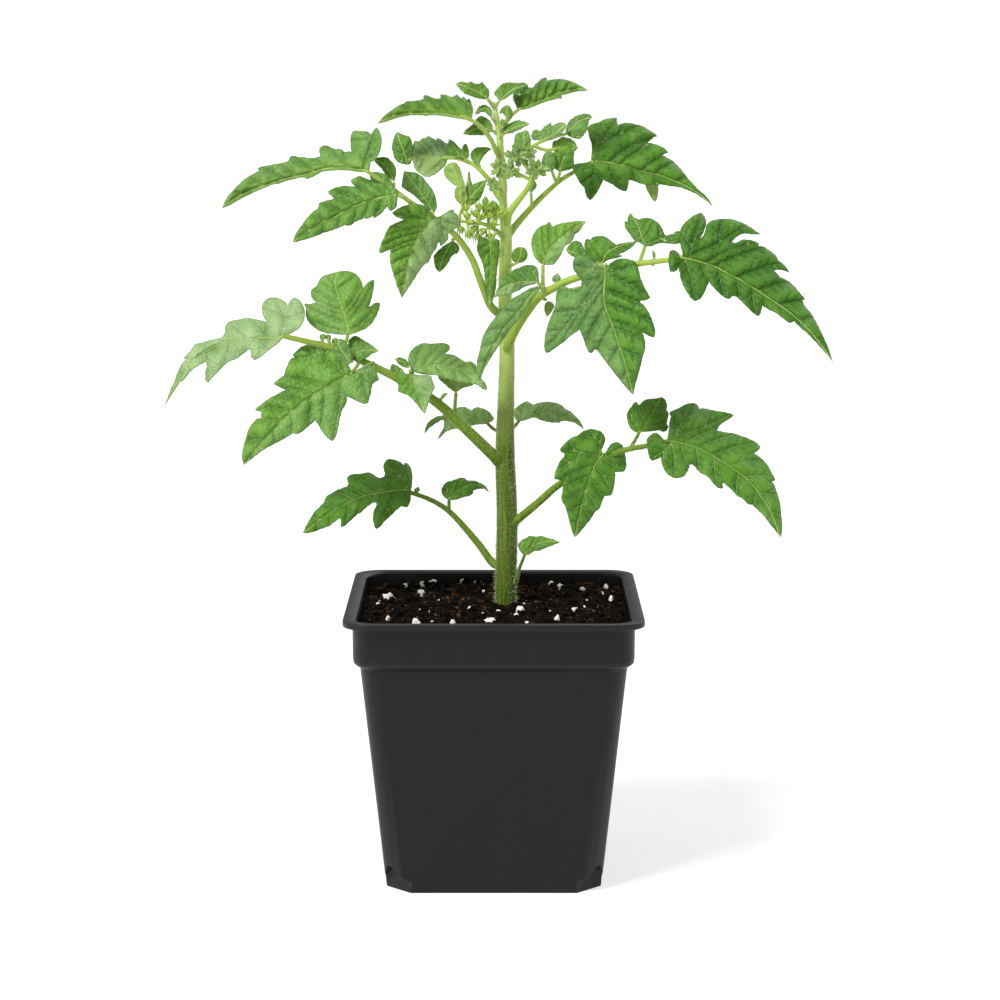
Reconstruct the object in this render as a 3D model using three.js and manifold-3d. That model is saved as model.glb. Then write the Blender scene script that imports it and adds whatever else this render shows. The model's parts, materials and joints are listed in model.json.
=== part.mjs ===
// A young tomato plant in a square nursery pot, in millimetres, +Z up, +X right and +Y away from the front.
// The origin is the middle of the pot's underside.
import * as THREE from 'three';
import { mergeVertices } from 'three/addons/utils/BufferGeometryUtils.js';
import Module from 'manifold-3d';

const wasm = await Module();
wasm.setup();

// Driving sizes of the pot
const potHeight = 133;
const lipHalfWidth = 70;
const lipHeight = 2.8;
const collarHalfWidth = 65.6;
const collarDepth = 20;
const wallHalfWidth = 62.3;
const baseHalfWidth = 51;
const wallThickness = 1.6;
const floorThickness = 2.5;
const potCorner = 11;
const edgeRound = 0.6;
const stepHeight = 2;
const stepRound = 0.9;
const footHeight = 14;
const footCorner = 24;
const footBlend = 3;
const notchDepth = 6;
const notchReach = 14;
const notchHeight = 13;
const notchHalfWidth = 10;
const drainRadius = 4;
const drainPlaceShare = 0.55;

// Driving sizes of the plant
const soilDrop = 5.5;
const stemRadius = 5.1;
const stemDepth = 24;
const bladeThickness = 0.65;
const seatGap = 0.3;
const soilMound = 2.1;
const budRadius = 1.6;
const veinRadius = 0.9;
const tuftStalkRadius = 0.8;
const budStalkRadius = 0.5;
const ribTipRadius = 0.5;
const ribRaisedShare = 0.4;
const plainFold = 0.12;

// The front view in which the plant was measured: 1000 units wide and high, with the eye in front of the pot.
const eye = { x: 2.9, distance: 1305, height: 389, pitch: THREE.MathUtils.degToRad(9.1) };
const viewCentre = 500;
const viewFocus = 2752;
const viewUnit = 0.475;

// The direction in which a place of the front view is seen.
function sight(column, row) {
  const right = (column - viewCentre) / viewFocus;
  const up = (viewCentre - row) / viewFocus;
  const forward = Math.cos(eye.pitch) + up * Math.sin(eye.pitch);
  const rise = up * Math.cos(eye.pitch) - Math.sin(eye.pitch);
  return new THREE.Vector3(right, forward, rise);
}

// The point that is seen at a place of the front view and lies at the given depth along +Y.
function seen([column, row, depth]) {
  const ray = sight(column, row);
  const reach = (depth + eye.distance) / ray.y;
  return new THREE.Vector3(eye.x + ray.x * reach, depth, eye.height + ray.z * reach);
}

// The point that is seen at a place of the front view and lies at the given height.
function seenAtHeight(column, row, height) {
  const ray = sight(column, row);
  const reach = (height - eye.height) / ray.z;
  return new THREE.Vector3(eye.x + ray.x * reach, ray.y * reach - eye.distance, height);
}

// A row of random numbers that is the same on every run.
function randomRow(seed) {
  let state = seed;
  return () => {
    state = (state * 1664525 + 1013904223) % 4294967296;
    return state / 4294967296;
  };
}

function closedGeometry(points, triangles) {
  const geometry = new THREE.BufferGeometry();
  const numbers = points.flatMap((point) => [point.x, point.y, point.z]);
  geometry.setAttribute('position', new THREE.Float32BufferAttribute(numbers, 3));
  geometry.setIndex(triangles);
  return geometry;
}

// A skin over a row of rings with equal numbers of points, closed flat at both ends.
function loft(rings) {
  const count = rings[0].length;
  const triangles = [];
  for (let ring = 0; ring + 1 < rings.length; ring += 1) {
    for (let side = 0; side < count; side += 1) {
      const next = (side + 1) % count;
      const a = ring * count + side;
      const b = ring * count + next;
      const c = a + count;
      const d = b + count;
      triangles.push(a, b, d, a, d, c);
    }
  }
  const last = (rings.length - 1) * count;
  for (let side = 1; side + 1 < count; side += 1) {
    triangles.push(0, side + 1, side);
    triangles.push(last, last + side, last + side + 1);
  }
  return closedGeometry(rings.flat(), triangles);
}

// A tube through the given points that tapers from one radius to the other.
function tube(points, startRadius, endRadius, sides, stepLength) {
  const curve = new THREE.CatmullRomCurve3(points);
  const steps = Math.max(2, Math.ceil(curve.getLength() / stepLength));
  const frames = curve.computeFrenetFrames(steps, false);
  const rings = [];
  for (let step = 0; step <= steps; step += 1) {
    const share = step / steps;
    const centre = curve.getPointAt(share);
    const radius = THREE.MathUtils.lerp(startRadius, endRadius, share);
    const ring = [];
    for (let side = 0; side < sides; side += 1) {
      const angle = (side / sides) * 2 * Math.PI;
      ring.push(centre.clone()
        .addScaledVector(frames.normals[step], radius * Math.cos(angle))
        .addScaledVector(frames.binormals[step], radius * Math.sin(angle)));
    }
    rings.push(ring);
  }
  return loft(rings);
}

function solid(geometry) {
  const plain = geometry.clone();
  plain.deleteAttribute('normal');
  plain.deleteAttribute('uv');
  const merged = mergeVertices(plain, 1e-4);
  return new wasm.Manifold(new wasm.Mesh({
    numProp: 3,
    vertProperties: new Float32Array(merged.attributes.position.array),
    triVerts: new Uint32Array(merged.index.array),
  }));
}

function joined(geometries) {
  return geometries.map(solid).reduce((whole, piece) => whole.add(piece));
}

function geometryOf(body) {
  const mesh = body.getMesh();
  const geometry = new THREE.BufferGeometry();
  geometry.setAttribute('position', new THREE.BufferAttribute(new Float32Array(mesh.vertProperties), 3));
  geometry.setIndex(new THREE.BufferAttribute(new Uint32Array(mesh.triVerts), 1));
  return geometry;
}

// One ring of the pot: a square with rounded corners.
function squareRing(half, corner, height) {
  const cornerSteps = 3;
  const sideSteps = 3;
  const ring = [];
  for (let turn = 0; turn < 4; turn += 1) {
    const centre = new THREE.Vector3(half - corner, half - corner, height);
    for (let step = 0; step < cornerSteps; step += 1) {
      const angle = (step / cornerSteps) * Math.PI / 2;
      const outward = new THREE.Vector3(Math.cos(angle), Math.sin(angle), 0);
      ring.push(centre.clone().addScaledVector(outward, corner));
    }
    for (let step = 0; step < sideSteps; step += 1) {
      ring.push(new THREE.Vector3((half - corner) * (1 - 2 * step / sideSteps), half, height));
    }
    for (const point of ring) {
      point.applyAxisAngle(new THREE.Vector3(0, 0, 1), -Math.PI / 2);
    }
  }
  return ring;
}

const lipBottom = potHeight - lipHeight;
const stepBottom = lipBottom - collarDepth;
const stepTop = stepBottom + stepHeight;

function wallHalfAt(height) {
  return THREE.MathUtils.mapLinear(height, 0, stepBottom, baseHalfWidth, wallHalfWidth);
}

// The pot's inner face, from the floor up. The soil follows the same rings.
const innerRings = [
  [baseHalfWidth - wallThickness, footCorner, floorThickness],
  [wallHalfAt(footHeight) - wallThickness, footCorner, footHeight],
  [wallHalfAt(footHeight + footBlend) - wallThickness, potCorner - wallThickness, footHeight + footBlend],
  [wallHalfAt(stepBottom) - wallThickness, potCorner - wallThickness, stepBottom],
  [collarHalfWidth - stepRound - wallThickness, potCorner - wallThickness, stepTop],
];

function makePot() {
  const outer = [
    [baseHalfWidth, potCorner - wallThickness, 0],
    [wallHalfWidth, potCorner, stepBottom - edgeRound],
    [(wallHalfWidth + collarHalfWidth) / 2, potCorner, stepBottom + edgeRound / 2],
    [collarHalfWidth - stepRound, potCorner, stepTop],
    [collarHalfWidth, potCorner, lipBottom],
    [lipHalfWidth - edgeRound, potCorner, lipBottom],
    [lipHalfWidth, potCorner, lipBottom + edgeRound],
    [lipHalfWidth, potCorner, potHeight - edgeRound],
    [lipHalfWidth - edgeRound, potCorner, potHeight],
    [collarHalfWidth, potCorner - wallThickness, potHeight],
    [collarHalfWidth - wallThickness, potCorner - wallThickness, potHeight - wallThickness],
  ];
  const profile = [...outer, ...innerRings.toReversed()];
  let body = solid(loft(profile.map(([half, corner, height]) => squareRing(half, corner, height))));

  const notch = new THREE.Shape([
    [-1, -0.1], [1, -0.1], [0.85, 0.4], [0.35, 0.75], [0, 1], [-0.35, 0.75], [-0.85, 0.4],
  ].map(([across, up]) => new THREE.Vector2(across * notchHalfWidth, up * notchHeight)));
  const notchCut = new THREE.ExtrudeGeometry(notch, { depth: notchReach, bevelEnabled: false });
  const notchPlane = (baseHalfWidth - notchDepth) * Math.SQRT2;
  const up = new THREE.Vector3(0, 0, 1);
  for (let corner = 0; corner < 4; corner += 1) {
    const angle = (corner + 0.5) * Math.PI / 2;
    const outward = new THREE.Vector3(Math.cos(angle), Math.sin(angle), 0);
    const across = new THREE.Vector3().crossVectors(up, outward);
    const place = new THREE.Matrix4().makeBasis(across, up, outward);
    place.setPosition(outward.clone().multiplyScalar(notchPlane));
    body = body.subtract(solid(notchCut.clone().applyMatrix4(place)));
    const drain = new THREE.CylinderGeometry(drainRadius, drainRadius, 3 * floorThickness, 12);
    drain.rotateX(Math.PI / 2);
    const drainPlace = outward.clone().applyAxisAngle(up, Math.PI / 4);
    drainPlace.multiplyScalar(baseHalfWidth * drainPlaceShare);
    drain.translate(drainPlace.x, drainPlace.y, 0);
    body = body.subtract(solid(drain));
  }
  return geometryOf(body);
}

// The main stem: column, row and radius in millimetres, from the soil up.
const stemSeen = [
  [505.5, 603, stemRadius], [507, 520, 5.0], [505, 453, 4.6], [506, 400, 3.9], [507, 345, 3.5],
  [505, 295, 3.1], [505.5, 260, 2.9], [506, 230, 2.6], [503, 206, 2.0], [503, 184, 1.8],
  [501, 160, 1.7], [499.5, 138, 1.4], [496, 115, 1.1], [493, 102, 0.8],
];

function stemTube(growth) {
  const points = stemSeen.map(([column, row]) => seen([column, row, 0]));
  const root = points[0].clone().setZ(points[0].z - stemDepth - growth);
  const curve = new THREE.CatmullRomCurve3([root, ...points]);
  const radii = [stemRadius, ...stemSeen.map((place) => place[2])];
  const steps = 18;
  const sides = 10;
  const rings = [];
  for (let step = 0; step <= steps; step += 1) {
    const place = (step / steps) * (radii.length - 1);
    const below = Math.min(Math.floor(place), radii.length - 2);
    const radius = THREE.MathUtils.lerp(radii[below], radii[below + 1], place - below) + growth;
    const centre = curve.getPoint(step / steps);
    const ring = [];
    for (let side = 0; side < sides; side += 1) {
      const angle = (side / sides) * 2 * Math.PI;
      ring.push(new THREE.Vector3(radius * Math.cos(angle), radius * Math.sin(angle), 0).add(centre));
    }
    rings.push(ring);
  }
  return loft(rings);
}

// The soil: it fills the pot, is highest at the stem and holds grains of perlite.
const soilEdge = potHeight - soilDrop;
const stemFoot = seen([stemSeen[0][0], stemSeen[0][1], 0]);

function soilHeight(x, y) {
  const away = Math.hypot(x - stemFoot.x, y) / collarHalfWidth;
  const waves = 0.5 * Math.sin(x * 0.21 + 1) * Math.cos(y * 0.17) + 0.35 * Math.sin(x * 0.37 - y * 0.31);
  return soilEdge + soilMound * Math.max(0, 1 - away * away) + waves * Math.min(1, 3 * Math.abs(1 - away));
}

// Column, row and radius of the grains of perlite that lie in the surface.
const perliteSeen = [
  [463, 579, 1.7], [433, 582, 1.6], [405, 585, 1.5], [422, 583, 1.3], [479, 582, 1.6],
  [389, 598, 2.4], [378, 604, 1.5], [421, 593, 1.6], [416, 623, 2.2], [453, 624, 1.6],
  [489, 623, 2.3], [520, 614, 2.4], [527, 623, 1.5], [557, 621, 1.5], [575, 612, 1.7],
  [575, 602, 1.5], [552, 583, 1.4], [560, 587, 1.6], [583, 589, 1.5], [606, 586, 1.3],
  [601, 595, 1.6], [611, 600, 1.5], [470, 613, 1.5], [388, 617, 1.5],
];

function makeSoil() {
  const rings = innerRings.map(([half, corner, height], index) => (
    squareRing(half - seatGap, corner - seatGap, height + (index === 0 ? seatGap : 0))));
  const edge = squareRing(collarHalfWidth - wallThickness - seatGap, potCorner - wallThickness, soilEdge);
  edge.forEach((point) => point.setZ(soilHeight(point.x, point.y)));
  rings.push(edge);
  const holeRadius = stemRadius + seatGap;
  const onHole = edge.map((point) => {
    const angle = Math.atan2(point.y, point.x - stemFoot.x);
    return new THREE.Vector3(stemFoot.x + holeRadius * Math.cos(angle), holeRadius * Math.sin(angle), 0);
  });
  for (const share of [0.2, 0.5, 0.8, 1]) {
    rings.push(edge.map((point, index) => {
      const place = point.clone().lerp(onHole[index], share);
      return place.setZ(soilHeight(place.x, place.y));
    }));
  }
  const holeFloor = stemFoot.z - stemDepth - 2 * seatGap;
  rings.push(onHole.map((point) => point.clone().setZ(holeFloor)));
  const random = randomRow(7);
  const grains = perliteSeen.map(([column, row, radius]) => {
    const place = seenAtHeight(column, row, soilEdge + 1);
    const grain = new THREE.OctahedronGeometry(radius, 0);
    grain.scale(0.85 + 0.3 * random(), 0.85 + 0.3 * random(), 0.75 + 0.2 * random());
    grain.rotateZ(6 * random());
    const edgeLimit = collarHalfWidth - wallThickness - seatGap - 1.3 * radius;
    place.x = THREE.MathUtils.clamp(place.x, -edgeLimit, edgeLimit);
    place.y = THREE.MathUtils.clamp(place.y, -edgeLimit, edgeLimit);
    return grain.translate(place.x, place.y, soilHeight(place.x, place.y) + 0.25 * radius);
  });
  return geometryOf(joined([loft(rings), ...grains]));
}

// Places of a leaf are columns and rows of the front view. The third number of a stalk's place is its depth.
// A leaflet has a rib from base to tip and two edges along it, through its lobe tips and notches.
// Its blade starts at its depth. Lean is its slope along the rib, roll the slope up to its first edge
// and fold the slope of both halves away from the rib. Curl moves the tip by some millimetres.
const leaves = [
  {
    name: 'leaf_low_left',
    colour: '#3f8a28',
    petiole: [
      [505, 569, 0], [492, 562, 3], [477, 542, 6], [451, 513, 10], [431, 500, 12], [409, 492, 14],
    ],
    radii: [2.1, 1.0],
    leaflets: [
      {
        rib: [[411, 492], [390, 492], [365, 497], [340, 510], [319, 522], [303, 533]],
        edges: [
          [
            [414, 475], [408, 464], [396, 461], [388, 459], [385, 474], [379, 479], [366, 473],
            [346, 475], [346, 487], [326, 498], [325, 504], [310, 523],
          ],
          [
            [409, 506], [400, 510], [377, 529], [373, 512], [376, 506], [362, 513], [342, 527],
            [341, 520], [327, 525],
          ],
        ],
        depth: 14, lean: -0.1, roll: 1.0, curl: -4,
      },
      {
        stalk: [[449, 512, 10], [449, 500, 9]],
        rib: [[449, 500], [463, 490], [489, 492]],
        edges: [
          [[441, 491], [446, 485], [463, 477], [467, 481], [478, 483]],
          [[461, 498], [478, 493]],
        ],
        depth: 9, lean: 0.1, roll: 0.9,
      },
      {
        rib: [[421, 497], [420, 492], [418, 486]],
        edges: [[[416, 491]], [[424, 490]]],
        depth: 13, lean: 0.3, roll: 0,
      },
    ],
  },
  {
    name: 'leaf_low_right',
    colour: '#3f8a28',
    petiole: [
      [507, 524, 0], [518, 520, -4], [540, 501, -9], [560, 484, -13], [602, 459, -19],
      [625, 450, -22], [646, 446, -24], [669, 441, -26],
    ],
    radii: [2.2, 1.1],
    leaflets: [
      {
        rib: [[667, 441], [688, 447], [711, 454], [732, 466], [752, 483], [769, 506], [780, 538]],
        edges: [
          [
            [669, 433], [677, 416], [684, 408], [696, 403], [714, 411], [733, 415], [723, 423],
            [717, 431], [732, 433], [748, 437], [760, 448], [755, 454], [773, 478], [777, 506],
          ],
          [
            [651, 435], [648, 450], [653, 461], [662, 456], [669, 474], [678, 479], [686, 474],
            [692, 464], [703, 469], [721, 488], [723, 483], [736, 487], [745, 495], [761, 512],
          ],
        ],
        depth: -26, lean: -0.15, roll: 1.0, curl: -6,
      },
      {
        stalk: [[603, 459, -19], [603, 454, -23]],
        rib: [[603, 455], [598, 468], [592, 485], [584, 510], [575, 537]],
        edges: [
          [
            [605, 437], [600, 431], [584, 430], [573, 437], [561, 452], [565, 456], [559, 466],
            [555, 479], [563, 487], [563, 502], [568, 520],
          ],
          [
            [609, 445], [617, 442], [624, 449], [625, 470], [615, 472], [611, 494], [604, 496],
            [588, 522],
          ],
        ],
        depth: -23, lean: -0.25, roll: -0.3, curl: -5,
      },
      {
        stalk: [[630, 449, -22], [634, 442, -18], [639, 433, -15]],
        rib: [[639, 433], [650, 418], [659, 398]],
        edges: [
          [[630, 427], [628, 416], [632, 408], [635, 402], [645, 400]],
          [[657, 435], [675, 420], [666, 408]],
        ],
        depth: -15, lean: 0.8, roll: 0.1,
      },
    ],
  },
  {
    name: 'leaf_at_base',
    colour: '#4c9a2e',
    petiole: [[507, 584, 0], [516, 581, -4], [518, 572, -6], [525, 554, -8]],
    radii: [1.0, 0.7],
    leaflets: [
      {
        rib: [[524, 555], [537, 544], [560, 542]],
        edges: [[[519, 541], [529, 537], [540, 535], [551, 539]], [[533, 555], [543, 550]]],
        depth: -8, lean: 0.1, roll: 0.9,
      },
    ],
  },
  {
    name: 'leaf_mid_left',
    colour: '#4a823a',
    petiole: [
      [503, 464, 0], [494, 456, -5], [468, 431, -9], [441, 406, -12], [418, 390, -15],
      [389, 374, -19], [362, 361, -22], [344, 351, -24], [313, 343, -26], [283, 336, -28],
    ],
    radii: [3.0, 1.2],
    leaflets: [
      {
        rib: [[284, 337], [253, 339], [235, 340], [217, 346], [198, 357], [183, 372], [165, 405]],
        edges: [
          [
            [301, 325], [305, 311], [295, 298], [284, 305], [271, 298], [263, 302], [262, 312],
            [267, 322], [247, 319], [226, 322], [222, 333], [197, 345], [191, 354], [185, 357],
            [174, 374],
          ],
          [
            [278, 348], [256, 359], [248, 349], [229, 364], [208, 383], [204, 376], [206, 362],
            [190, 369], [175, 390],
          ],
        ],
        depth: -28, lean: -0.1, roll: 1.1, curl: -6,
      },
      {
        stalk: [[360, 360, -22], [357, 366, -27], [352, 372, -30]],
        rib: [[352, 372], [338, 377], [320, 389], [302, 402], [286, 416], [271, 430], [244, 465]],
        edges: [
          [
            [335, 350], [322, 345], [310, 346], [294, 355], [286, 374], [274, 384], [286, 390],
            [256, 410], [262, 418], [247, 436], [242, 457],
          ],
          [
            [374, 362], [376, 376], [379, 380], [372, 385], [368, 402], [347, 395], [341, 412],
            [334, 440], [320, 424], [314, 420], [292, 433], [271, 445],
          ],
        ],
        depth: -30, lean: -0.2, roll: 0.3, curl: -4,
      },
      {
        stalk: [[343, 353, -24], [349, 351, -25]],
        rib: [[349, 351], [362, 350], [379, 350]],
        edges: [[[348, 338], [368, 339]], [[357, 361], [371, 354]]],
        depth: -25, lean: 0, roll: 0.6,
      },
      {
        stalk: [[340, 352, -24], [346, 342, -23], [348, 333, -22]],
        rib: [[348, 333], [344, 318], [339, 298], [341, 272]],
        edges: [
          [[320, 331], [312, 322], [305, 305], [311, 292], [319, 280], [330, 274]],
          [[367, 328], [376, 317], [380, 302], [371, 295], [374, 280], [363, 283], [355, 273]],
        ],
        depth: -22, lean: 0.35, roll: 0.1, curl: 3,
      },
      {
        stalk: [[411, 387, -16], [411, 376, -20]],
        rib: [[411, 376], [414, 392], [425, 413]],
        edges: [
          [[402, 372], [392, 364], [399, 380], [398, 392], [410, 400]],
          [[424, 376], [435, 386], [428, 402]],
        ],
        depth: -20, lean: -0.3, roll: 0,
      },
      {
        stalk: [[415, 389, -15], [413, 378, -16], [412, 371, -16]],
        rib: [[412, 371], [428, 364], [446, 358], [474, 364]],
        edges: [
          [[408, 355], [414, 348], [424, 343], [439, 343], [450, 346], [449, 351]],
          [[424, 374], [440, 374]],
        ],
        depth: -16, lean: -0.05, roll: 0.8,
      },
      {
        stalk: [[455, 418, -9], [455, 406, -9], [456, 393, -9]],
        rib: [[456, 393], [463, 384], [474, 383], [487, 390]],
        edges: [[[437, 372], [453, 377], [466, 366], [477, 372]], [[470, 391]]],
        depth: -9, lean: 0, roll: 0.2,
      },
    ],
  },
  {
    name: 'leaf_behind_stem',
    colour: '#4a823a',
    petiole: [[505, 440, 0], [505, 434, 8], [505, 430, 17]],
    radii: [1.6, 1.2],
    leaflets: [
      {
        stalk: [[505, 431, 14], [514, 428, 17], [524, 420, 19]],
        rib: [[524, 420], [545, 413], [564, 416], [584, 429]],
        edges: [[[515, 412], [527, 402], [549, 402], [564, 406]], [[537, 421], [560, 425]]],
        depth: 19, lean: 0.1, roll: 0.9,
      },
      {
        stalk: [[505, 431, 14], [495, 430, 17], [487, 423, 19]],
        rib: [[487, 423], [470, 416], [452, 414], [437, 421], [424, 435]],
        edges: [
          [[493, 418], [486, 413], [477, 408], [464, 407], [447, 409]],
          [[478, 424], [466, 430], [438, 439], [447, 421]],
        ],
        depth: 19, lean: 0.1, roll: 0.9,
      },
    ],
  },
  {
    name: 'leaf_mid_right',
    colour: '#4a823a',
    petiole: [
      [506, 354, 0], [509, 344, -5], [516, 329, -8], [527, 312, -11], [539, 297, -14],
      [552, 289, -16], [570, 280, -20], [606, 270, -28], [637, 264, -34], [668, 260, -40],
      [683, 257, -43],
    ],
    radii: [2.3, 1.1],
    leaflets: [
      {
        rib: [[682, 257], [712, 265], [739, 277], [765, 293], [790, 310], [812, 330], [833, 362]],
        edges: [
          [
            [680, 233], [688, 221], [701, 213], [708, 223], [728, 219], [745, 223], [760, 234],
            [742, 235], [732, 242], [749, 240], [768, 250], [778, 257], [779, 264], [789, 272],
            [783, 274], [805, 299], [806, 306], [821, 330],
          ],
          [
            [671, 251], [669, 262], [671, 272], [679, 265], [685, 288], [695, 301], [706, 291],
            [710, 281], [729, 299], [735, 291], [747, 306], [759, 316], [762, 304], [779, 315],
            [791, 323], [797, 320], [816, 342],
          ],
        ],
        depth: -43, lean: -0.15, roll: 0.9, curl: -6,
      },
      {
        stalk: [[545, 294, -15], [541, 287, -20]],
        rib: [[541, 286], [525, 300], [510, 318], [497, 340], [480, 381]],
        edges: [
          [[530, 287], [516, 297], [502, 309], [493, 320], [483, 337], [479, 362]],
          [[534, 300], [520, 319], [510, 342], [498, 363]],
        ],
        depth: -20, lean: -0.05, roll: 0.2,
      },
      {
        stalk: [[548, 291, -16], [538, 283, -17]],
        rib: [[538, 283], [522, 277], [508, 281], [493, 298]],
        edges: [
          [[539, 270], [532, 265], [520, 266], [511, 272], [502, 283]],
          [[529, 285], [511, 291], [502, 295]],
        ],
        depth: -17, lean: 0, roll: 0.5,
      },
      {
        stalk: [[545, 294, -15], [543, 283, -14], [543, 265, -12]],
        rib: [[543, 265], [548, 252], [560, 238], [586, 221]],
        edges: [
          [[533, 254], [532, 239], [538, 229], [550, 222], [556, 225]],
          [[556, 262], [566, 245], [573, 242], [580, 233]],
        ],
        depth: -12, lean: 0.3, roll: 0.3,
      },
      {
        stalk: [[606, 270, -28], [606, 264, -32]],
        rib: [[606, 262], [604, 280], [605, 302], [612, 325], [621, 351], [633, 395]],
        edges: [
          [
            [588, 257], [575, 256], [575, 271], [583, 281], [570, 290], [559, 287], [553, 312],
            [546, 353], [567, 338], [581, 329], [591, 353], [597, 350],
          ],
          [
            [623, 259], [638, 265], [645, 285], [651, 299], [641, 301], [655, 337], [642, 333],
            [645, 347], [640, 366],
          ],
        ],
        depth: -32, lean: -0.1, roll: 0.4, curl: -4,
      },
      {
        stalk: [[600, 272, -26], [602, 264, -23]],
        rib: [[602, 264], [608, 252], [635, 242]],
        edges: [
          [[588, 256], [585, 246], [591, 238], [604, 237], [614, 241]],
          [[616, 258], [622, 250]],
        ],
        depth: -23, lean: -0.3, roll: 0.9,
      },
      {
        stalk: [[596, 273, -25], [598, 264, -22]],
        rib: [[598, 264], [583, 256], [563, 250]],
        edges: [[[590, 250], [578, 243], [569, 244]], [[588, 264], [574, 257]]],
        depth: -22, lean: 0.2, roll: 0.7,
      },
      {
        stalk: [[639, 264, -34], [642, 255, -34], [645, 246, -34]],
        rib: [[645, 246], [643, 232], [631, 213]],
        edges: [
          [[636, 242], [631, 234], [625, 223]],
          [[666, 244], [677, 232], [666, 234], [664, 227], [654, 218], [642, 217]],
        ],
        depth: -34, lean: 0.6, roll: 0,
      },
      {
        stalk: [[541, 297, -13], [546, 300, -11]],
        rib: [[546, 300], [549, 307], [551, 317]],
        edges: [[[543, 307]], [[555, 306]]],
        depth: -11, lean: 0, roll: 0,
      },
    ],
  },
  {
    name: 'leaf_upper_right',
    colour: '#5a9a48',
    petiole: [
      [508, 238, 0], [513, 229, 5], [523, 217, 8], [533, 206, 11], [547, 192, 15], [561, 180, 18],
      [576, 171, 20], [593, 162, 22],
    ],
    radii: [1.7, 0.8],
    leaflets: [
      {
        rib: [[591, 162], [609, 163], [630, 165], [648, 170], [665, 175], [685, 184], [700, 194], [713, 206]],
        edges: [
          [
            [591, 143], [587, 129], [600, 121], [616, 118], [621, 124], [639, 125], [656, 136],
            [643, 139], [637, 145], [652, 144], [668, 153], [666, 157], [676, 164], [690, 181],
          ],
          [
            [572, 166], [574, 172], [584, 187], [590, 200], [596, 194], [603, 180], [611, 187],
            [625, 191], [628, 181], [645, 185], [655, 202], [658, 185], [683, 188],
          ],
        ],
        depth: 22, lean: 0.15, roll: 0.9, curl: -4,
      },
      {
        stalk: [[557, 184, 17], [560, 172, 16]],
        rib: [[560, 172], [563, 160], [575, 142]],
        edges: [[[552, 166], [553, 153], [563, 150]], [[573, 168], [574, 156]]],
        depth: 16, lean: 0.2, roll: 0.2,
      },
      {
        stalk: [[557, 184, 17], [552, 172, 15]],
        rib: [[552, 172], [546, 163], [547, 151]],
        edges: [[[541, 168], [541, 157]], [[556, 163], [554, 154]]],
        depth: 15, lean: 0.2, roll: 0.2,
      },
      {
        stalk: [[532, 207, 10], [531, 193, 8]],
        rib: [[531, 193], [531, 186], [533, 178]],
        edges: [[[526, 186]], [[537, 186]]],
        depth: 8, lean: 0.2, roll: 0,
      },
    ],
  },
  {
    name: 'leaf_upper_left',
    colour: '#4a823a',
    petiole: [
      [502, 318, 0], [490, 305, -6], [485, 293, -9], [479, 277, -12], [473, 261, -14],
      [464, 246, -17], [452, 232, -20], [434, 218, -25], [409, 201, -31], [390, 187, -36],
      [367, 171, -40],
    ],
    radii: [1.9, 0.9],
    leaflets: [
      {
        stalk: [[436, 220, -24], [432, 219, -29]],
        rib: [[432, 219], [420, 240], [410, 265], [402, 298]],
        edges: [
          [
            [430, 210], [411, 204], [392, 214], [404, 219], [389, 229], [379, 252], [391, 249],
            [390, 260], [395, 283],
          ],
          [
            [444, 214], [454, 210], [462, 227], [452, 229], [448, 243], [440, 247], [439, 254],
            [432, 252], [418, 272],
          ],
        ],
        depth: -29, lean: -0.2, roll: -0.4, curl: -4,
      },
      {
        stalk: [[456, 238, -18], [452, 240, -17]],
        rib: [[453, 240], [447, 254], [439, 272]],
        edges: [[[441, 245], [434, 252], [434, 261]], [[460, 249], [453, 255], [446, 265]]],
        depth: -17, lean: -0.2, roll: 0,
      },
      {
        stalk: [[403, 197, -32], [398, 195, -41]],
        rib: [[398, 194], [381, 198], [364, 204], [345, 211], [331, 218], [317, 227], [294, 242]],
        edges: [
          [
            [390, 179], [381, 173], [372, 171], [368, 180], [352, 180], [353, 187], [344, 186],
            [328, 192], [334, 198], [319, 205], [318, 209], [303, 229],
          ],
          [[397, 204], [391, 211], [386, 205], [374, 217], [350, 226], [322, 233]],
        ],
        depth: -41, lean: -0.1, roll: 0.35, curl: -3,
      },
      {
        rib: [[369, 172], [360, 167], [345, 164], [326, 165], [307, 170], [284, 178], [250, 192], [222, 207]],
        edges: [
          [
            [377, 157], [382, 142], [376, 128], [373, 131], [354, 131], [351, 140], [352, 154],
            [323, 146], [319, 150], [322, 157], [291, 156], [289, 160], [259, 168], [258, 171],
            [238, 186],
          ],
          [[345, 171], [320, 173], [306, 179], [304, 175], [278, 183], [262, 191], [240, 200]],
        ],
        depth: -40, lean: 0.1, roll: 2.0, fold: -1.1, curl: -3,
      },
      {
        stalk: [[432, 217, -25], [433, 212, -22]],
        rib: [[434, 213], [424, 192], [404, 171]],
        edges: [
          [[420, 204], [411, 197], [403, 188]],
          [[437, 204], [433, 190], [426, 180], [414, 172]],
        ],
        depth: -22, lean: 0.3, roll: 0.2,
      },
      {
        stalk: [[393, 189, -35], [394, 183, -33]],
        rib: [[394, 182], [388, 170], [373, 159]],
        edges: [[[386, 174], [376, 164]], [[396, 170], [391, 158], [382, 156]]],
        depth: -33, lean: 0.3, roll: 0,
      },
    ],
  },
  {
    name: 'leaf_left_under_top',
    colour: '#6ea555',
    petiole: [
      [502, 203, 0], [496, 193, 4], [489, 180, 6], [477, 167, 8], [466, 161, 10], [455, 158, 11],
      [443, 158, 12],
    ],
    radii: [1.4, 0.8],
    leaflets: [
      {
        rib: [[446, 158], [430, 157], [412, 160]],
        edges: [
          [[449, 140], [438, 143], [428, 136], [417, 141], [412, 150]],
          [[443, 168], [426, 177], [416, 170]],
        ],
        depth: 12, lean: 0, roll: 0.9, fold: 0.5,
      },
      {
        stalk: [[430, 158, 12], [418, 158, 13], [408, 160, 14]],
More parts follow.
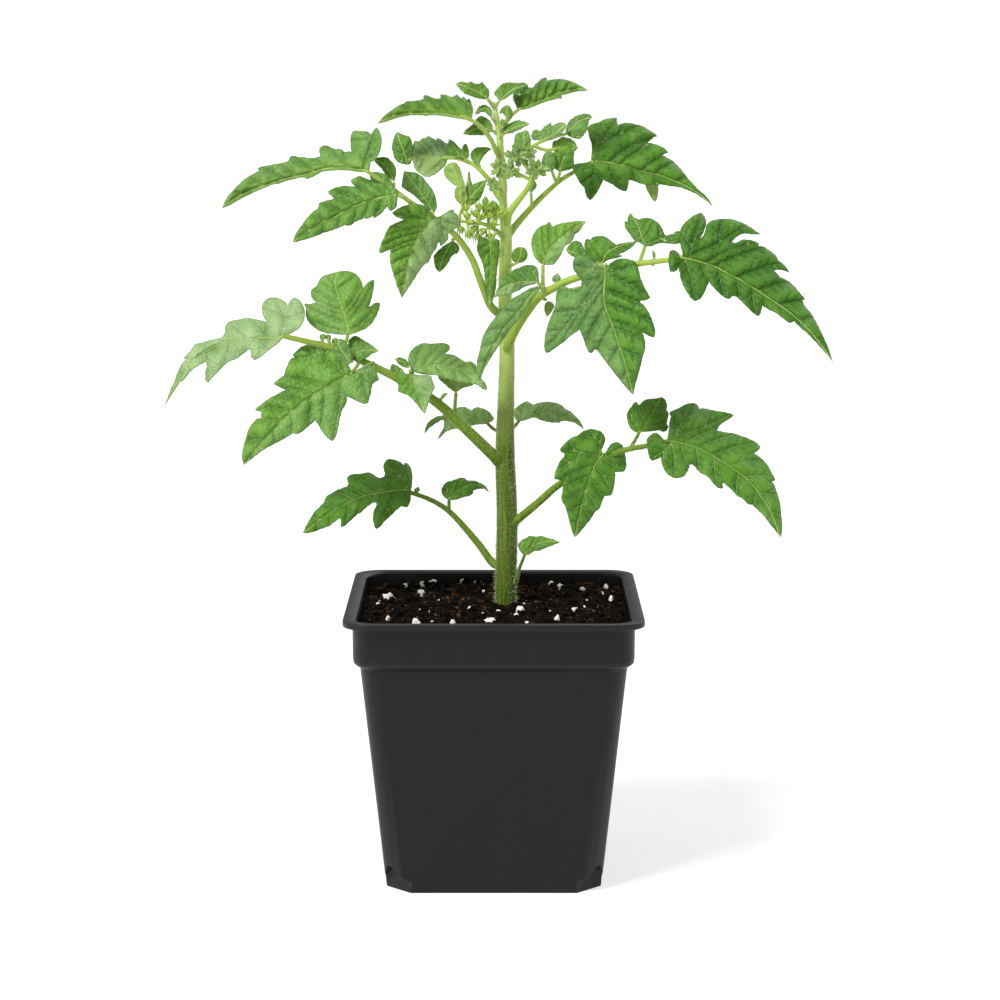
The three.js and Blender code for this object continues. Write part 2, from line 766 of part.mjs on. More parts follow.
        rib: [[410, 160], [405, 150], [397, 132]],
        edges: [[[404, 168], [394, 157], [392, 142]], [[413, 155], [412, 143], [408, 137]]],
        depth: 14, lean: 0.4, roll: 0,
      },
      {
        stalk: [[468, 162, 9], [465, 158, 9]],
        rib: [[465, 159], [458, 151], [449, 139]],
        edges: [[[451, 156], [446, 148]], [[469, 154], [465, 144]]],
        depth: 9, lean: 0.4, roll: 0,
      },
      {
        stalk: [[480, 170, 8], [479, 164, 7]],
        rib: [[478, 166], [480, 157], [492, 149]],
        edges: [[[470, 157], [473, 149], [482, 146]], [[484, 157]]],
        depth: 7, lean: 0.2, roll: 0.4,
      },
    ],
  },
  {
    name: 'leaf_top_left',
    colour: '#6ea555',
    petiole: [
      [500, 160, 0], [496, 151, -3], [491, 140, -5], [483, 129, -7], [473, 121, -9],
      [460, 116, -10],
    ],
    radii: [1.2, 0.7],
    leaflets: [
      {
        rib: [[471, 120], [455, 115], [436, 113], [411, 114], [395, 118], [378, 123]],
        edges: [
          [
            [473, 113], [469, 98], [462, 102], [455, 95], [448, 99], [441, 94], [436, 100],
            [423, 95], [420, 100], [407, 102], [395, 108],
          ],
          [[455, 118], [436, 117], [411, 118], [395, 120]],
        ],
        depth: -9, lean: 0.1, roll: 3, fold: -2.1,
      },
    ],
  },
  {
    name: 'leaf_top_right',
    colour: '#6ea555',
    petiole: [[499, 142, 0], [503, 132, 3], [508, 120, 5], [514, 113, 6], [521, 108, 7]],
    radii: [1.1, 0.6],
    leaflets: [
      {
        rib: [[518, 110], [535, 103], [552, 95], [570, 89], [587, 90]],
        edges: [
          [[513, 98], [519, 85], [526, 92], [532, 89], [545, 78], [548, 81], [564, 79], [577, 84]],
          [[525, 109], [547, 101], [562, 98], [571, 92]],
        ],
        depth: 7, lean: 0.1, roll: 1.6, fold: -0.8,
      },
    ],
  },
  {
    name: 'side_shoot',
    colour: '#86b83c',
    petiole: [
      [506, 228, 0], [508, 216, -5], [514, 206, -7], [522, 196, -9], [529, 186, -10],
      [532, 172, -11], [530, 157, -10],
    ],
    radii: [2.0, 0.8],
    tufts: [
      { place: [518, 156, -11], stalk: [529, 170, -11], reach: 15, count: 7, seed: 3 },
      { place: [537, 170, -12], stalk: [531, 178, -10], reach: 13, count: 6, seed: 5 },
      { place: [512, 171, -12], stalk: [531, 180, -10], reach: 12, count: 5, seed: 8 },
    ],
    leaflets: [
      {
        stalk: [[530, 160, -10], [531, 148, -9], [543, 141, -8], [557, 136, -6], [566, 134, -5]],
        rib: [[566, 134], [575, 126], [592, 116]],
        edges: [[[566, 128], [571, 121], [580, 116]], [[580, 139], [589, 125]]],
        depth: -5, lean: 0.3, roll: 0.6,
      },
      {
        stalk: [[544, 141, -8], [544, 138, -8]],
        rib: [[544, 140], [551, 134], [566, 124]],
        edges: [[[532, 139], [534, 131], [541, 131], [550, 122]], [[556, 138], [567, 131]]],
        depth: -8, lean: 0.1, roll: 0.6,
      },
      {
        stalk: [[531, 152, -9], [527, 146, -9]],
        rib: [[527, 147], [522, 139], [525, 130]],
        edges: [[[516, 146], [515, 135]], [[531, 144], [529, 135]]],
        depth: -9, lean: 0.3, roll: 0,
      },
      {
        stalk: [[534, 146, -9], [545, 150, -8], [556, 149, -7]],
        rib: [[554, 150], [566, 146], [578, 150]],
        edges: [[[555, 141], [568, 138]], [[560, 156], [572, 156]]],
        depth: -7, lean: 0.2, roll: 0.4,
      },
    ],
  },
  {
    name: 'flower_truss',
    colour: '#9cc24a',
    petiole: [
      [504, 240, 0], [499, 233, -4], [489, 226, -6], [478, 223, -7], [467, 222, -8], [459, 221, -8],
    ],
    radii: [1.1, 0.7],
    buds: [
      [467, 216, -9], [474, 229, -9], [482, 217, -8], [484, 231, -8], [490, 216, -7],
      [461, 229, -9], [494, 223, -8], [476, 214, -6],
    ],
    leaflets: [
      {
        stalk: [[460, 221, -8], [460, 214, -8], [463, 206, -7]],
        rib: [[463, 206], [461, 188], [456, 176], [450, 163]],
        edges: [
          [[455, 200], [454, 191], [458, 187], [448, 174], [444, 168]],
          [[468, 199], [465, 186], [462, 174], [456, 163]],
        ],
        depth: -7, lean: 0.3, roll: 0,
      },
      {
        stalk: [[460, 214, -8], [464, 206, -6]],
        rib: [[464, 206], [472, 195], [487, 180]],
        edges: [[[466, 190], [469, 172], [472, 185]], [[472, 205], [482, 195]]],
        depth: -6, lean: 0.3, roll: 0.2,
      },
      {
        stalk: [[497, 231, -5], [493, 237, -10], [490, 243, -13]],
        rib: [[490, 242], [491, 262], [489, 285], [489, 306]],
        edges: [
          [[480, 238], [476, 250], [484, 275], [486, 297]],
          [[499, 240], [499, 255], [496, 280], [494, 297]],
        ],
        depth: -13, lean: 0, roll: 0,
      },
      {
        stalk: [[489, 226, -6], [488, 218, -6]],
        rib: [[488, 218], [486, 207], [485, 196]],
        edges: [[[482, 210]], [[491, 208]]],
        depth: -6, lean: 0.2, roll: 0,
      },
      {
        stalk: [[494, 229, -5], [495, 219, -6]],
        rib: [[495, 219], [496, 210], [493, 200]],
        edges: [[[491, 212]], [[500, 212]]],
        depth: -6, lean: 0.2, roll: 0,
      },
    ],
  },
];

// Young leaves at the top of the main stem and one in a leaf axil. They grow straight from the stem.
const stemLeaflets = [
  {
    stalk: [[496, 110, 0], [490, 102, -2], [488, 99, -3]],
    rib: [[488, 99], [478, 92], [466, 87], [456, 84]],
    edges: [
      [[489, 92], [484, 87], [482, 82], [475, 84], [472, 82], [461, 82]],
      [[482, 98], [472, 96], [461, 90]],
    ],
    depth: -3, lean: 0, roll: 0.8,
  },
  {
    stalk: [[495, 108, 0], [499, 101, 2]],
    rib: [[499, 101], [508, 93], [526, 86]],
    edges: [[[494, 93], [499, 86], [507, 83], [518, 83]], [[505, 99], [518, 91]]],
    depth: 2, lean: 0.2, roll: 0.8,
  },
  {
    stalk: [[499, 135, 0], [493, 131, -1]],
    rib: [[493, 131], [480, 128], [463, 134]],
    edges: [[[490, 120], [481, 116], [475, 123], [470, 127]], [[484, 135], [472, 135]]],
    depth: -1, lean: 0.1, roll: 0.4,
  },
  {
    stalk: [[497, 124, 0], [492, 118, -3]],
    rib: [[492, 118], [486, 108], [475, 114]],
    edges: [[[491, 110], [484, 104], [477, 107]], [[487, 116], [480, 113]]],
    depth: -3, lean: 0, roll: 0.4,
  },
  {
    stalk: [[499, 139, 0], [503, 134, -4]],
    rib: [[503, 134], [513, 128], [529, 124]],
    edges: [[[504, 127], [511, 124], [519, 120]], [[512, 133], [521, 129]]],
    depth: -4, lean: -0.1, roll: 0.7,
  },
  {
    stalk: [[498, 128, 0], [503, 123, -3], [507, 119, -4]],
    rib: [[507, 119], [506, 112], [508, 105]],
    edges: [[[501, 114], [502, 108]], [[513, 117], [512, 110]]],
    depth: -4, lean: 0.2, roll: 0,
  },
  {
    stalk: [[505, 268, 0], [512, 265, -4], [519, 262, -5]],
    rib: [[517, 263], [520, 256], [521, 248]],
    edges: [[[512, 260], [513, 251]], [[527, 260], [527, 252]]],
    depth: -5, lean: 0.2, roll: 0,
  },
];

function between([columnA, rowA], [columnB, rowB], share) {
  return [columnA + (columnB - columnA) * share, rowA + (rowB - rowA) * share];
}

function nearestOnRib(rib, place) {
  let nearest = rib[0];
  let best = Infinity;
  for (let index = 0; index + 1 < rib.length; index += 1) {
    const start = rib[index];
    const run = [rib[index + 1][0] - start[0], rib[index + 1][1] - start[1]];
    const toPlace = [place[0] - start[0], place[1] - start[1]];
    const share = (toPlace[0] * run[0] + toPlace[1] * run[1]) / (run[0] ** 2 + run[1] ** 2);
    const candidate = between(start, rib[index + 1], THREE.MathUtils.clamp(share, 0, 1));
    const distance = Math.hypot(place[0] - candidate[0], place[1] - candidate[1]);
    if (distance < best) {
      best = distance;
      nearest = candidate;
    }
  }
  return nearest;
}

// The direction from base to tip, and the one across it to the first edge.
function bladeAxes({ rib, edges }) {
  const base = new THREE.Vector2(...rib[0]);
  const along = new THREE.Vector2(...rib.at(-1)).sub(base);
  const length = along.length();
  along.normalize();
  const across = new THREE.Vector2(-along.y, along.x);
  const firstEdge = new THREE.Vector2();
  edges[0].forEach((place) => firstEdge.add(new THREE.Vector2(...place).sub(base)));
  return { base, along, length, across: firstEdge.dot(across) > 0 ? across : across.negate() };
}

function bladeDepth(leaflet, [column, row]) {
  const { rib, depth, lean, roll, fold = plainFold, curl = 0 } = leaflet;
  const { base, along, length, across } = bladeAxes(leaflet);
  const offset = new THREE.Vector2(column, row).sub(base);
  const [ribColumn, ribRow] = nearestOnRib(rib, [column, row]);
  const fromRib = Math.hypot(column - ribColumn, row - ribRow);
  const reach = offset.length() / length;
  const slope = lean * offset.dot(along) + roll * offset.dot(across) + fold * fromRib;
  return depth + slope * viewUnit + curl * reach * reach;
}

// A closed blade with the same triangles on both faces.
function bladeGeometry(leaflet) {
  const { rib, lean, roll, fold = plainFold } = leaflet;
  const [edgeA, edgeB] = leaflet.edges;
  const ribInside = rib.slice(1, -1);
  const places = [rib[0], ...edgeA, rib.at(-1), ...edgeB.toReversed(), ...ribInside];
  const rimCount = edgeA.length + edgeB.length + 2;
  const tipIndex = edgeA.length + 1;
  const ribIndices = ribInside.map((place, index) => rimCount + index);
  const halves = [
    [...Array(tipIndex + 1).keys(), ...ribIndices.toReversed()],
    [0, ...ribIndices, ...Array.from({ length: rimCount - tipIndex }, (unused, index) => tipIndex + index)],
  ];
  const triangles = [];
  for (const half of halves) {
    const contour = half.map((index) => new THREE.Vector2(places[index][0], -places[index][1]));
    for (const [a, b, c] of THREE.ShapeUtils.triangulateShape(contour, [])) {
      triangles.push([half[a], half[b], half[c]]);
    }
  }
  const halfThickness = bladeThickness * Math.hypot(1, lean, Math.abs(roll) + Math.abs(fold) / 2) / 2;
  const front = places.map((place) => seen([...place, bladeDepth(leaflet, place) - halfThickness]));
  const rear = places.map((place) => seen([...place, bladeDepth(leaflet, place) + halfThickness]));
  const count = places.length;
  const outline = places.slice(0, rimCount).map(([column, row]) => new THREE.Vector2(column, -row));
  const turn = THREE.ShapeUtils.isClockWise(outline) ? -1 : 1;
  const indices = [];
  const addTriangle = (a, b, c) => indices.push(...(turn > 0 ? [a, b, c] : [a, c, b]));
  for (const [a, b, c] of triangles) {
    const [p, q, r] = [a, b, c].map((index) => new THREE.Vector2(places[index][0], -places[index][1]));
    const clockwise = THREE.ShapeUtils.isClockWise([p, q, r]);
    indices.push(...(clockwise ? [a, c, b] : [a, b, c]));
    indices.push(...(clockwise ? [a, b, c] : [a, c, b]).map((index) => index + count));
  }
  for (let index = 0; index < rimCount; index += 1) {
    const next = (index + 1) % rimCount;
    addTriangle(index, index + count, next + count);
    addTriangle(index, next + count, next);
  }
  return closedGeometry([...front, ...rear], indices);
}

// The stalk of a leaflet and the raised part of its rib.
function ribGeometry(leaflet, radius) {
  const stalk = (leaflet.stalk ?? []).map(seen);
  const raised = leaflet.rib.slice(0, Math.max(2, Math.ceil(leaflet.rib.length * ribRaisedShare)));
  const ribPoints = raised.map((place) => seen([...place, bladeDepth(leaflet, place)]));
  const start = leaflet.stalk ? ribPoints.slice(1) : ribPoints;
  return tube([...stalk, ...start], radius, ribTipRadius, 4, 16);
}

function leafletPieces(leaflet, radius) {
  return [bladeGeometry(leaflet), ribGeometry(leaflet, radius)];
}

// A tuft of young leaves round a small core. The leaves turn by even steps with a little chance in each.
function tuftPieces({ place, stalk, reach, count, seed }) {
  const random = randomRow(seed);
  const [column, row, depth] = place;
  const centre = seen(place);
  const core = new THREE.IcosahedronGeometry(reach * 0.16, 0).translate(centre.x, centre.y, centre.z);
  const pieces = [core, tube([seen(stalk), centre], tuftStalkRadius, tuftStalkRadius, 4, 12)];
  for (let number = 0; number < count; number += 1) {
    const angle = ((number + 0.5 * random()) / count) * 2 * Math.PI;
    const length = reach * (0.75 + 0.4 * random());
    const along = (share, turn) => [
      column + length * share * Math.cos(angle + turn),
      row - length * share * Math.sin(angle + turn),
    ];
    pieces.push(bladeGeometry({
      rib: [along(0.02, 0), along(0.5, 0), along(1, 0)],
      edges: [[along(0.5, 0.5), along(0.8, 0.28)], [along(0.5, -0.5), along(0.8, -0.28)]],
      depth: depth + (number % 2 ? 0.8 : -0.8),
      lean: 0.9 * (random() - 0.5),
      roll: 0.9 * (random() - 0.5),
    }));
  }
  return pieces;
}

function budPieces([column, row, depth], petiole) {
  const centre = seen([column, row, depth]);
  const bud = new THREE.OctahedronGeometry(budRadius, 0).scale(1, 1, 1.4);
  bud.translate(centre.x, centre.y, centre.z);
  const nearer = (best, point) => (point.distanceTo(centre) < best.distanceTo(centre) ? point : best);
  const root = petiole.slice(1).map(seen).reduce(nearer);
  return [bud, tube([root, centre], budStalkRadius, budStalkRadius, 3, 12)];
}

function makeLeaf({ petiole, radii, leaflets, tufts = [], buds = [] }, stemClearance) {
  const [rootRadius, endRadius] = radii;
  const pieces = [
    tube(petiole.map(seen), rootRadius, endRadius, 6, 13),
    ...leaflets.flatMap((leaflet) => leafletPieces(leaflet, Math.min(endRadius, veinRadius))),
    ...tufts.flatMap(tuftPieces),
    ...buds.flatMap((bud) => budPieces(bud, petiole)),
  ];
  return geometryOf(joined(pieces).subtract(stemClearance));
}

function makeStem() {
  return geometryOf(joined([stemTube(0), ...stemLeaflets.flatMap((leaflet) => leafletPieces(leaflet, 0.7))]));
}

const plant = new THREE.Group();

function addPiece(name, geometry, colour, roughness) {
  geometry.computeVertexNormals();
  const material = new THREE.MeshStandardMaterial({ color: colour, roughness, metalness: 0 });
  const mesh = new THREE.Mesh(geometry, material);
  mesh.name = name;
  plant.add(mesh);
}

addPiece('pot', makePot(), '#2a2b2a', 0.45);
addPiece('soil', makeSoil(), '#23160e', 0.95);
addPiece('main_stem', makeStem(), '#86a63a', 0.6);
const stemClearance = solid(stemTube(seatGap));
for (const leaf of leaves) {
  addPiece(leaf.name, makeLeaf(leaf, stemClearance), leaf.colour, 0.55);
}

export default plant;
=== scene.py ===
# %% [markdown]
# A young tomato plant in a square nursery pot.
# The real object is a black moulded pot full of peat with white perlite, a hairy main stem, eleven compound
# leaves, a side shoot, a truss of flower buds and a tuft of young leaves at the top.
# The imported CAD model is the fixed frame. Its blades are plain facets, so each leaf, the soil and the pot get
# a finer piece here that keeps the place and form of its node.

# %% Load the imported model
import json
import math

import bpy
import numpy as np
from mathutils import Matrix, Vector, noise
from mathutils.geometry import delaunay_2d_cdt

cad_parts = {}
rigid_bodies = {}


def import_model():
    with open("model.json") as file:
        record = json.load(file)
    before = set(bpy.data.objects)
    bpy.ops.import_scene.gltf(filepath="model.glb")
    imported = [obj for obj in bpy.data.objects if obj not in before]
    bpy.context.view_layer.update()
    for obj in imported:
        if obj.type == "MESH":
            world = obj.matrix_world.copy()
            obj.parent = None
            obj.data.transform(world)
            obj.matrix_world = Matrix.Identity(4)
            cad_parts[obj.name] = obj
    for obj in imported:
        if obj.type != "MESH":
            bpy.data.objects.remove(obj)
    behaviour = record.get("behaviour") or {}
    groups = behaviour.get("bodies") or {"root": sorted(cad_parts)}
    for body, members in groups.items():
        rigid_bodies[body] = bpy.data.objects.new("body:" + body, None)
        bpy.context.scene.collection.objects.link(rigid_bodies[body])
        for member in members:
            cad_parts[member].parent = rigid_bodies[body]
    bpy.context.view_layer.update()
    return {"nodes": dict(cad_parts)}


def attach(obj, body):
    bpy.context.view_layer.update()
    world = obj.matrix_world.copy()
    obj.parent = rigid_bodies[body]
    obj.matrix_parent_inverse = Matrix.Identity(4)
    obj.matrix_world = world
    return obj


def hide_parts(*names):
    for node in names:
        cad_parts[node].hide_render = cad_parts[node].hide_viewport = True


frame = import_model()
MM = 0.001
print("CAD nodes:", ", ".join(sorted(frame["nodes"])))

# %% [markdown]
# Colours are read off the real thing as sRGB hex values, but a shader counts in linear light, so one function
# turns them. One more adds a node with its settings and links, so that a material reads as a short list.

# %% Colours and nodes
def linear(colour):
    shares = [int(colour[start:start + 2], 16) / 255 for start in (1, 3, 5)]
    curve = [share / 12.92 if share <= 0.04045 else ((share + 0.055) / 1.055) ** 2.4 for share in shares]
    return [*curve, 1.0]


def add_node(tree, kind, settings=None, links=None):
    """Adds a node. Settings are its own properties or its sockets' values, links are its sockets' sources."""
    node = tree.nodes.new(kind)
    for key, value in (settings or {}).items():
        if isinstance(key, str) and hasattr(node, key):
            setattr(node, key, value)
        else:
            node.inputs[key].default_value = value
    for key, source in (links or {}).items():
        tree.links.new(source, node.inputs[key])
    return node


def new_material(name):
    material = bpy.data.materials.new(name)
    material.use_nodes = True
    material.node_tree.nodes.clear()
    return material, material.node_tree


print("Black pot colour in linear light:", [round(value, 4) for value in linear("#2A2B2A")[:3]])

# %% [markdown]
# Every finish below is built from the same few steps: a soft noise, a value taken from one range to another,
# a mix of two colours, and a relief that only tilts the light. Each step is a short function that returns the
# output to link, so a material reads from top to bottom as its layers lie on the real thing.

# %% Steps of a finish
MIX_SHARE, MIX_FIRST, MIX_SECOND, MIX_RESULT = 0, 6, 7, 2


def object_place(tree):
    return add_node(tree, "ShaderNodeTexCoord").outputs["Object"]


def soft_noise(tree, place, size, **settings):
    """Noise from 0 to 1 with clouds of about a size in millimetres."""
    settings = {"Scale": 1 / (size * MM), **settings}
    return add_node(tree, "ShaderNodeTexNoise", settings, {"Vector": place}).outputs["Fac"]


def cell_noise(tree, place, size, **settings):
    """Distances inside cells of about a size in millimetres."""
    settings = {**settings, "Scale": 1 / (size * MM)}
    return add_node(tree, "ShaderNodeTexVoronoi", settings, {"Vector": place}).outputs["Distance"]


def remapped(tree, source, start, end, low, high):
    """Turns the range from start to end into that from low to high. A bound is a number or an output."""
    bounds = {"From Min": start, "From Max": end, "To Min": low, "To Max": high}
    numbers = {key: bound for key, bound in bounds.items() if isinstance(bound, (int, float))}
    outputs = {key: bound for key, bound in bounds.items() if key not in numbers}
    return add_node(tree, "ShaderNodeMapRange", numbers, {"Value": source, **outputs}).outputs[0]


def mixed(tree, share, first, second):
    """A colour between two. The share is a number or an output, a colour is a hex value or an output."""
    settings, links = {"data_type": "RGBA"}, {}
    for socket, value in ((MIX_SHARE, share), (MIX_FIRST, first), (MIX_SECOND, second)):
        if isinstance(value, str):
            settings[socket] = linear(value)
        elif isinstance(value, float):
            settings[socket] = value
        else:
            links[socket] = value
    return add_node(tree, "ShaderNodeMix", settings, links).outputs[MIX_RESULT]


def relief(tree, height, strength, depth, **links):
    """The normal of a surface with a relief whose depth is in millimetres."""
    settings = {"Strength": strength, "Distance": depth * MM}
    return add_node(tree, "ShaderNodeBump", settings, {"Height": height, **links}).outputs[0]


def solid_surface(tree, settings, links):
    shader = add_node(tree, "ShaderNodeBsdfPrincipled", settings, links)
    add_node(tree, "ShaderNodeOutputMaterial", {}, {"Surface": shader.outputs[0]})


def thin_surface(tree, settings, links, through, through_links):
    """A surface that lets a share of the light through, as thin plant tissue does."""
    shader = add_node(tree, "ShaderNodeBsdfPrincipled", settings, links)
    glow = add_node(tree, "ShaderNodeBsdfTranslucent", {}, through_links)
    both = add_node(tree, "ShaderNodeMixShader", {0: through}, {1: shader.outputs[0], 2: glow.outputs[0]})
    add_node(tree, "ShaderNodeOutputMaterial", {}, {"Surface": both.outputs[0]})


print("A mix takes its share, first and second colour at inputs", MIX_SHARE, MIX_FIRST, MIX_SECOND)

# %% [markdown]
# The camera stands 1.3 m in front of the pot and a little above the plant, and looks nine degrees down
# through a long lens. The same eye later turns places of the front view into points.

# %% Camera
EYE = Vector((2.9, -1305.0, 389.0))
PITCH = math.radians(9.1)
VIEW_CENTRE = 500
VIEW_FOCUS = 2752
VIEW_UNIT = 0.475
SENSOR = 36

camera_data = bpy.data.cameras.new("camera")
camera_data.sensor_width = SENSOR
camera_data.lens = VIEW_FOCUS / (2 * VIEW_CENTRE) * SENSOR
camera = bpy.data.objects.new("camera", camera_data)
camera.location = EYE * MM
camera.rotation_euler = (math.pi / 2 - PITCH, 0, 0)
bpy.context.scene.collection.objects.link(camera)
bpy.context.scene.camera = camera
print("Lens in mm:", round(camera_data.lens, 1))

# %% [markdown]
# A product picture on white: a wide pale floor, a bright even surround, a broad main light from the upper
# left and a weak one from behind that lets thin leaves glow. The lights are suns, which light the floor
# evenly, and the floor gives off some light of its own, as a light table does, so shadows stay faint.

# %% Floor and light
FLOOR_SIZE = 24
FLOOR_GRAIN = 0.5
FLOOR_GLOW = 0.66
bpy.context.scene.view_settings.view_transform = "Standard"

bpy.ops.mesh.primitive_plane_add(size=FLOOR_SIZE, location=(0, 0, 0))
floor = bpy.context.object
floor.name = "floor"
floor_material, tree = new_material("matt white paper")
grain = add_node(tree, "ShaderNodeTexNoise", {"Scale": 1 / (FLOOR_GRAIN * MM), "Detail": 3})
solid_surface(tree,
              {"Roughness": 0.9, "Specular IOR Level": 0.1, "Emission Color": linear("#FFFFFF"),
               "Emission Strength": FLOOR_GLOW},
              {"Base Color": mixed(tree, grain.outputs["Fac"], "#AAAAAA", "#B2B2B2")})
floor.data.materials.append(floor_material)

world = bpy.data.worlds.new("white surround")
bpy.context.scene.world = world
world.use_nodes = True
SURROUND_SEEN = 1.0
SURROUND_LIGHT = 0.42
path = add_node(world.node_tree, "ShaderNodeLightPath")
strength = remapped(world.node_tree, path.outputs["Is Camera Ray"], 0, 1, SURROUND_LIGHT, SURROUND_SEEN)
surround = world.node_tree.nodes["Background"]
surround.inputs["Color"].default_value = (1, 1, 1, 1)
world.node_tree.links.new(strength, surround.inputs["Strength"])

LAMPS = [
    {"name": "main", "from": (-0.75, -0.8, 1.15), "softness": 18, "power": 3.3},
    {"name": "back", "from": (0.6, 1.0, 0.9), "softness": 50, "power": 0.8},
]
for lamp in LAMPS:
    lamp_data = bpy.data.lights.new(lamp["name"], "SUN")
    lamp_data.angle = math.radians(lamp["softness"])
    lamp_data.energy = lamp["power"]
    lamp_object = bpy.data.objects.new(lamp["name"], lamp_data)
    lamp_object.location = lamp["from"]
    lamp_object.rotation_euler = Vector(lamp["from"]).to_track_quat("Z", "Y").to_euler()
    bpy.context.scene.collection.objects.link(lamp_object)
print("Lamps:", len(LAMPS))

# %% [markdown]
# Every piece is finished in the same way: it gets its name, its material and the body that it rides on, and
# the CAD node that it stands for is hidden.

# %% Helpers for pieces
def select_only(*objects):
    bpy.ops.object.select_all(action="DESELECT")
    for each in objects:
        each.select_set(True)
    bpy.context.view_layer.objects.active = objects[0]


def apply_modifier(piece, kind, **settings):
    select_only(piece)
    modifier = piece.modifiers.new(kind.lower(), kind)
    for key, value in settings.items():
        setattr(modifier, key, value)
    bpy.ops.object.modifier_apply(modifier=modifier.name)


def finish_piece(piece, name, materials=(), nodes=()):
    piece.name = name
    piece.data.name = name
    for material in materials:
        piece.data.materials.append(material)
    select_only(piece)
    bpy.ops.object.transform_apply(location=True, rotation=True, scale=True)
    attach(piece, "root")
    if nodes:
        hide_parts(*nodes)
    print(f"{name}: {len(piece.data.polygons)} faces")
    return piece


def mesh_piece(name, points, faces):
    """A new object from points in millimetres and lists of corners."""
    mesh = bpy.data.meshes.new(name)
    mesh.from_pydata((np.asarray(points) * MM).tolist(), [], faces)
    piece = bpy.data.objects.new(name, mesh)
    bpy.context.scene.collection.objects.link(piece)
    return piece


def point_faces_out(piece):
    """Makes all faces of a closed mesh look outwards and ends edit mode."""
    select_only(piece)
    bpy.ops.object.mode_set(mode="EDIT")
    bpy.ops.mesh.select_all(action="SELECT")
    bpy.ops.mesh.normals_make_consistent(inside=False)
    bpy.ops.object.mode_set(mode="OBJECT")


def new_primitive(operator, **settings):
    """Adds one of Blender's own basic meshes and returns its object."""
    bpy.ops.object.select_all(action="DESELECT")
    operator(**settings)
    return bpy.context.object


# %% [markdown]
# The pot is injection-moulded polypropylene coloured with carbon black: a satin skin with a fine mould
# texture, faint flow streaks and a soft sheen on its corners. Its sharp rims and edges are a bit paler, and
# a little dust lies on it.

# %% Pot plastic
def pot_plastic():
    material, tree = new_material("moulded black polypropylene")
    place = object_place(tree)
    drawn_up = add_node(tree, "ShaderNodeMapping", {"Scale": (1.0, 1.0, 0.12)}, {"Vector": place})
    flow = soft_noise(tree, drawn_up.outputs[0], 14, Detail=4)
    skin = soft_noise(tree, place, 0.7, Detail=3)
    dust = soft_noise(tree, place, 22, Detail=8, Roughness=0.7)
    edge = add_node(tree, "ShaderNodeNewGeometry").outputs["Pointiness"]
    colour = mixed(tree, flow, "#090A09", "#0F100F")
    colour = mixed(tree, remapped(tree, dust, 0.52, 0.8, 0, 0.04), colour, "#6B6862")
    # Sharp edges are mixed a little paler.
    colour = mixed(tree, remapped(tree, edge, 0.52, 0.62, 0, 0.22), colour, "#7A7C7A")
    solid_surface(tree, {"IOR": 1.49, "Specular IOR Level": 0.25},
                  {"Base Color": colour, "Roughness": remapped(tree, flow, 0, 1, 0.36, 0.5),
                   "Normal": relief(tree, skin, 0.5, 0.03)})
    return material


POT_PLASTIC = pot_plastic()
print("Material:", POT_PLASTIC.name)

# %% [markdown]
# The pot is a square with rounded corners that is drawn up ring by ring: out from the base, over the rounded
# step, up the collar, over the flat lip and down inside. A plane with bevelled corners, extruded and resized,
# gives just that. The bottom corners are then cut away and the floor is drilled with drain holes.

# %% Pot shape
POT_HEIGHT = 133.0
LIP_HALF = 70.0
LIP_HEIGHT = 2.8
COLLAR_HALF = 65.6
COLLAR_DEPTH = 20.0
WALL_HALF = 62.3
BASE_HALF = 51.0
WALL = 1.6
FLOOR_THICKNESS = 2.5
CORNER = 9.4
CORNER_SEGMENTS = 8
LIP_BOTTOM = POT_HEIGHT - LIP_HEIGHT
STEP_BOTTOM = LIP_BOTTOM - COLLAR_DEPTH
STEP_HEIGHT = 3.0
FOOT_HEIGHT = 15.0
FOOT_INSET = 5.5
FLOOR_INSET = 10.0
EDGE_ROUND = 0.5
EDGE_TURN = math.radians(38)


def rounded_plane(half, height):
    plane = new_primitive(bpy.ops.mesh.primitive_plane_add, size=2 * half * MM, location=(0, 0, height * MM))
    bpy.ops.object.mode_set(mode="EDIT")
    bpy.ops.mesh.bevel(offset=CORNER * half / BASE_HALF * MM, segments=CORNER_SEGMENTS, affect="VERTICES")
    return plane


def draw_rings(piece, rings, half, height):
    """Extrudes the selected face from ring to ring, each given by its half width and height."""
    for next_half, next_height in rings:
        rise = (0, 0, (next_height - height) * MM)
        bpy.ops.mesh.extrude_region_move(TRANSFORM_OT_translate={"value": rise})
        share = next_half / half
        bpy.ops.transform.resize(value=(share, share, 1), center_override=(0, 0, next_height * MM))
        half, height = next_half, next_height
    bpy.ops.object.mode_set(mode="OBJECT")
    point_faces_out(piece)


OUTSIDE = [
    (WALL_HALF, STEP_BOTTOM - 0.6),
    (WALL_HALF + 1.0, STEP_BOTTOM + 0.1),
    (COLLAR_HALF - 1.4, STEP_BOTTOM + 0.9),
    (COLLAR_HALF - 0.4, STEP_BOTTOM + STEP_HEIGHT - 1.0),
    (COLLAR_HALF - 0.1, STEP_BOTTOM + STEP_HEIGHT + 1.0),
    (COLLAR_HALF, LIP_BOTTOM),
    (LIP_HALF, LIP_BOTTOM),
    (LIP_HALF, POT_HEIGHT),
]
INSIDE = [
    (COLLAR_HALF + 0.3, POT_HEIGHT),
    (COLLAR_HALF - WALL, POT_HEIGHT - 1.2),
    (COLLAR_HALF - WALL, STEP_BOTTOM + STEP_HEIGHT),
    (WALL_HALF - WALL, STEP_BOTTOM),
    (BASE_HALF, 2 * FOOT_HEIGHT),
    (BASE_HALF - FOOT_INSET, FOOT_HEIGHT),
    (BASE_HALF - FLOOR_INSET, FLOOR_THICKNESS),
]
pot = rounded_plane(BASE_HALF, 0)
draw_rings(pot, [*OUTSIDE, *INSIDE], BASE_HALF, 0)
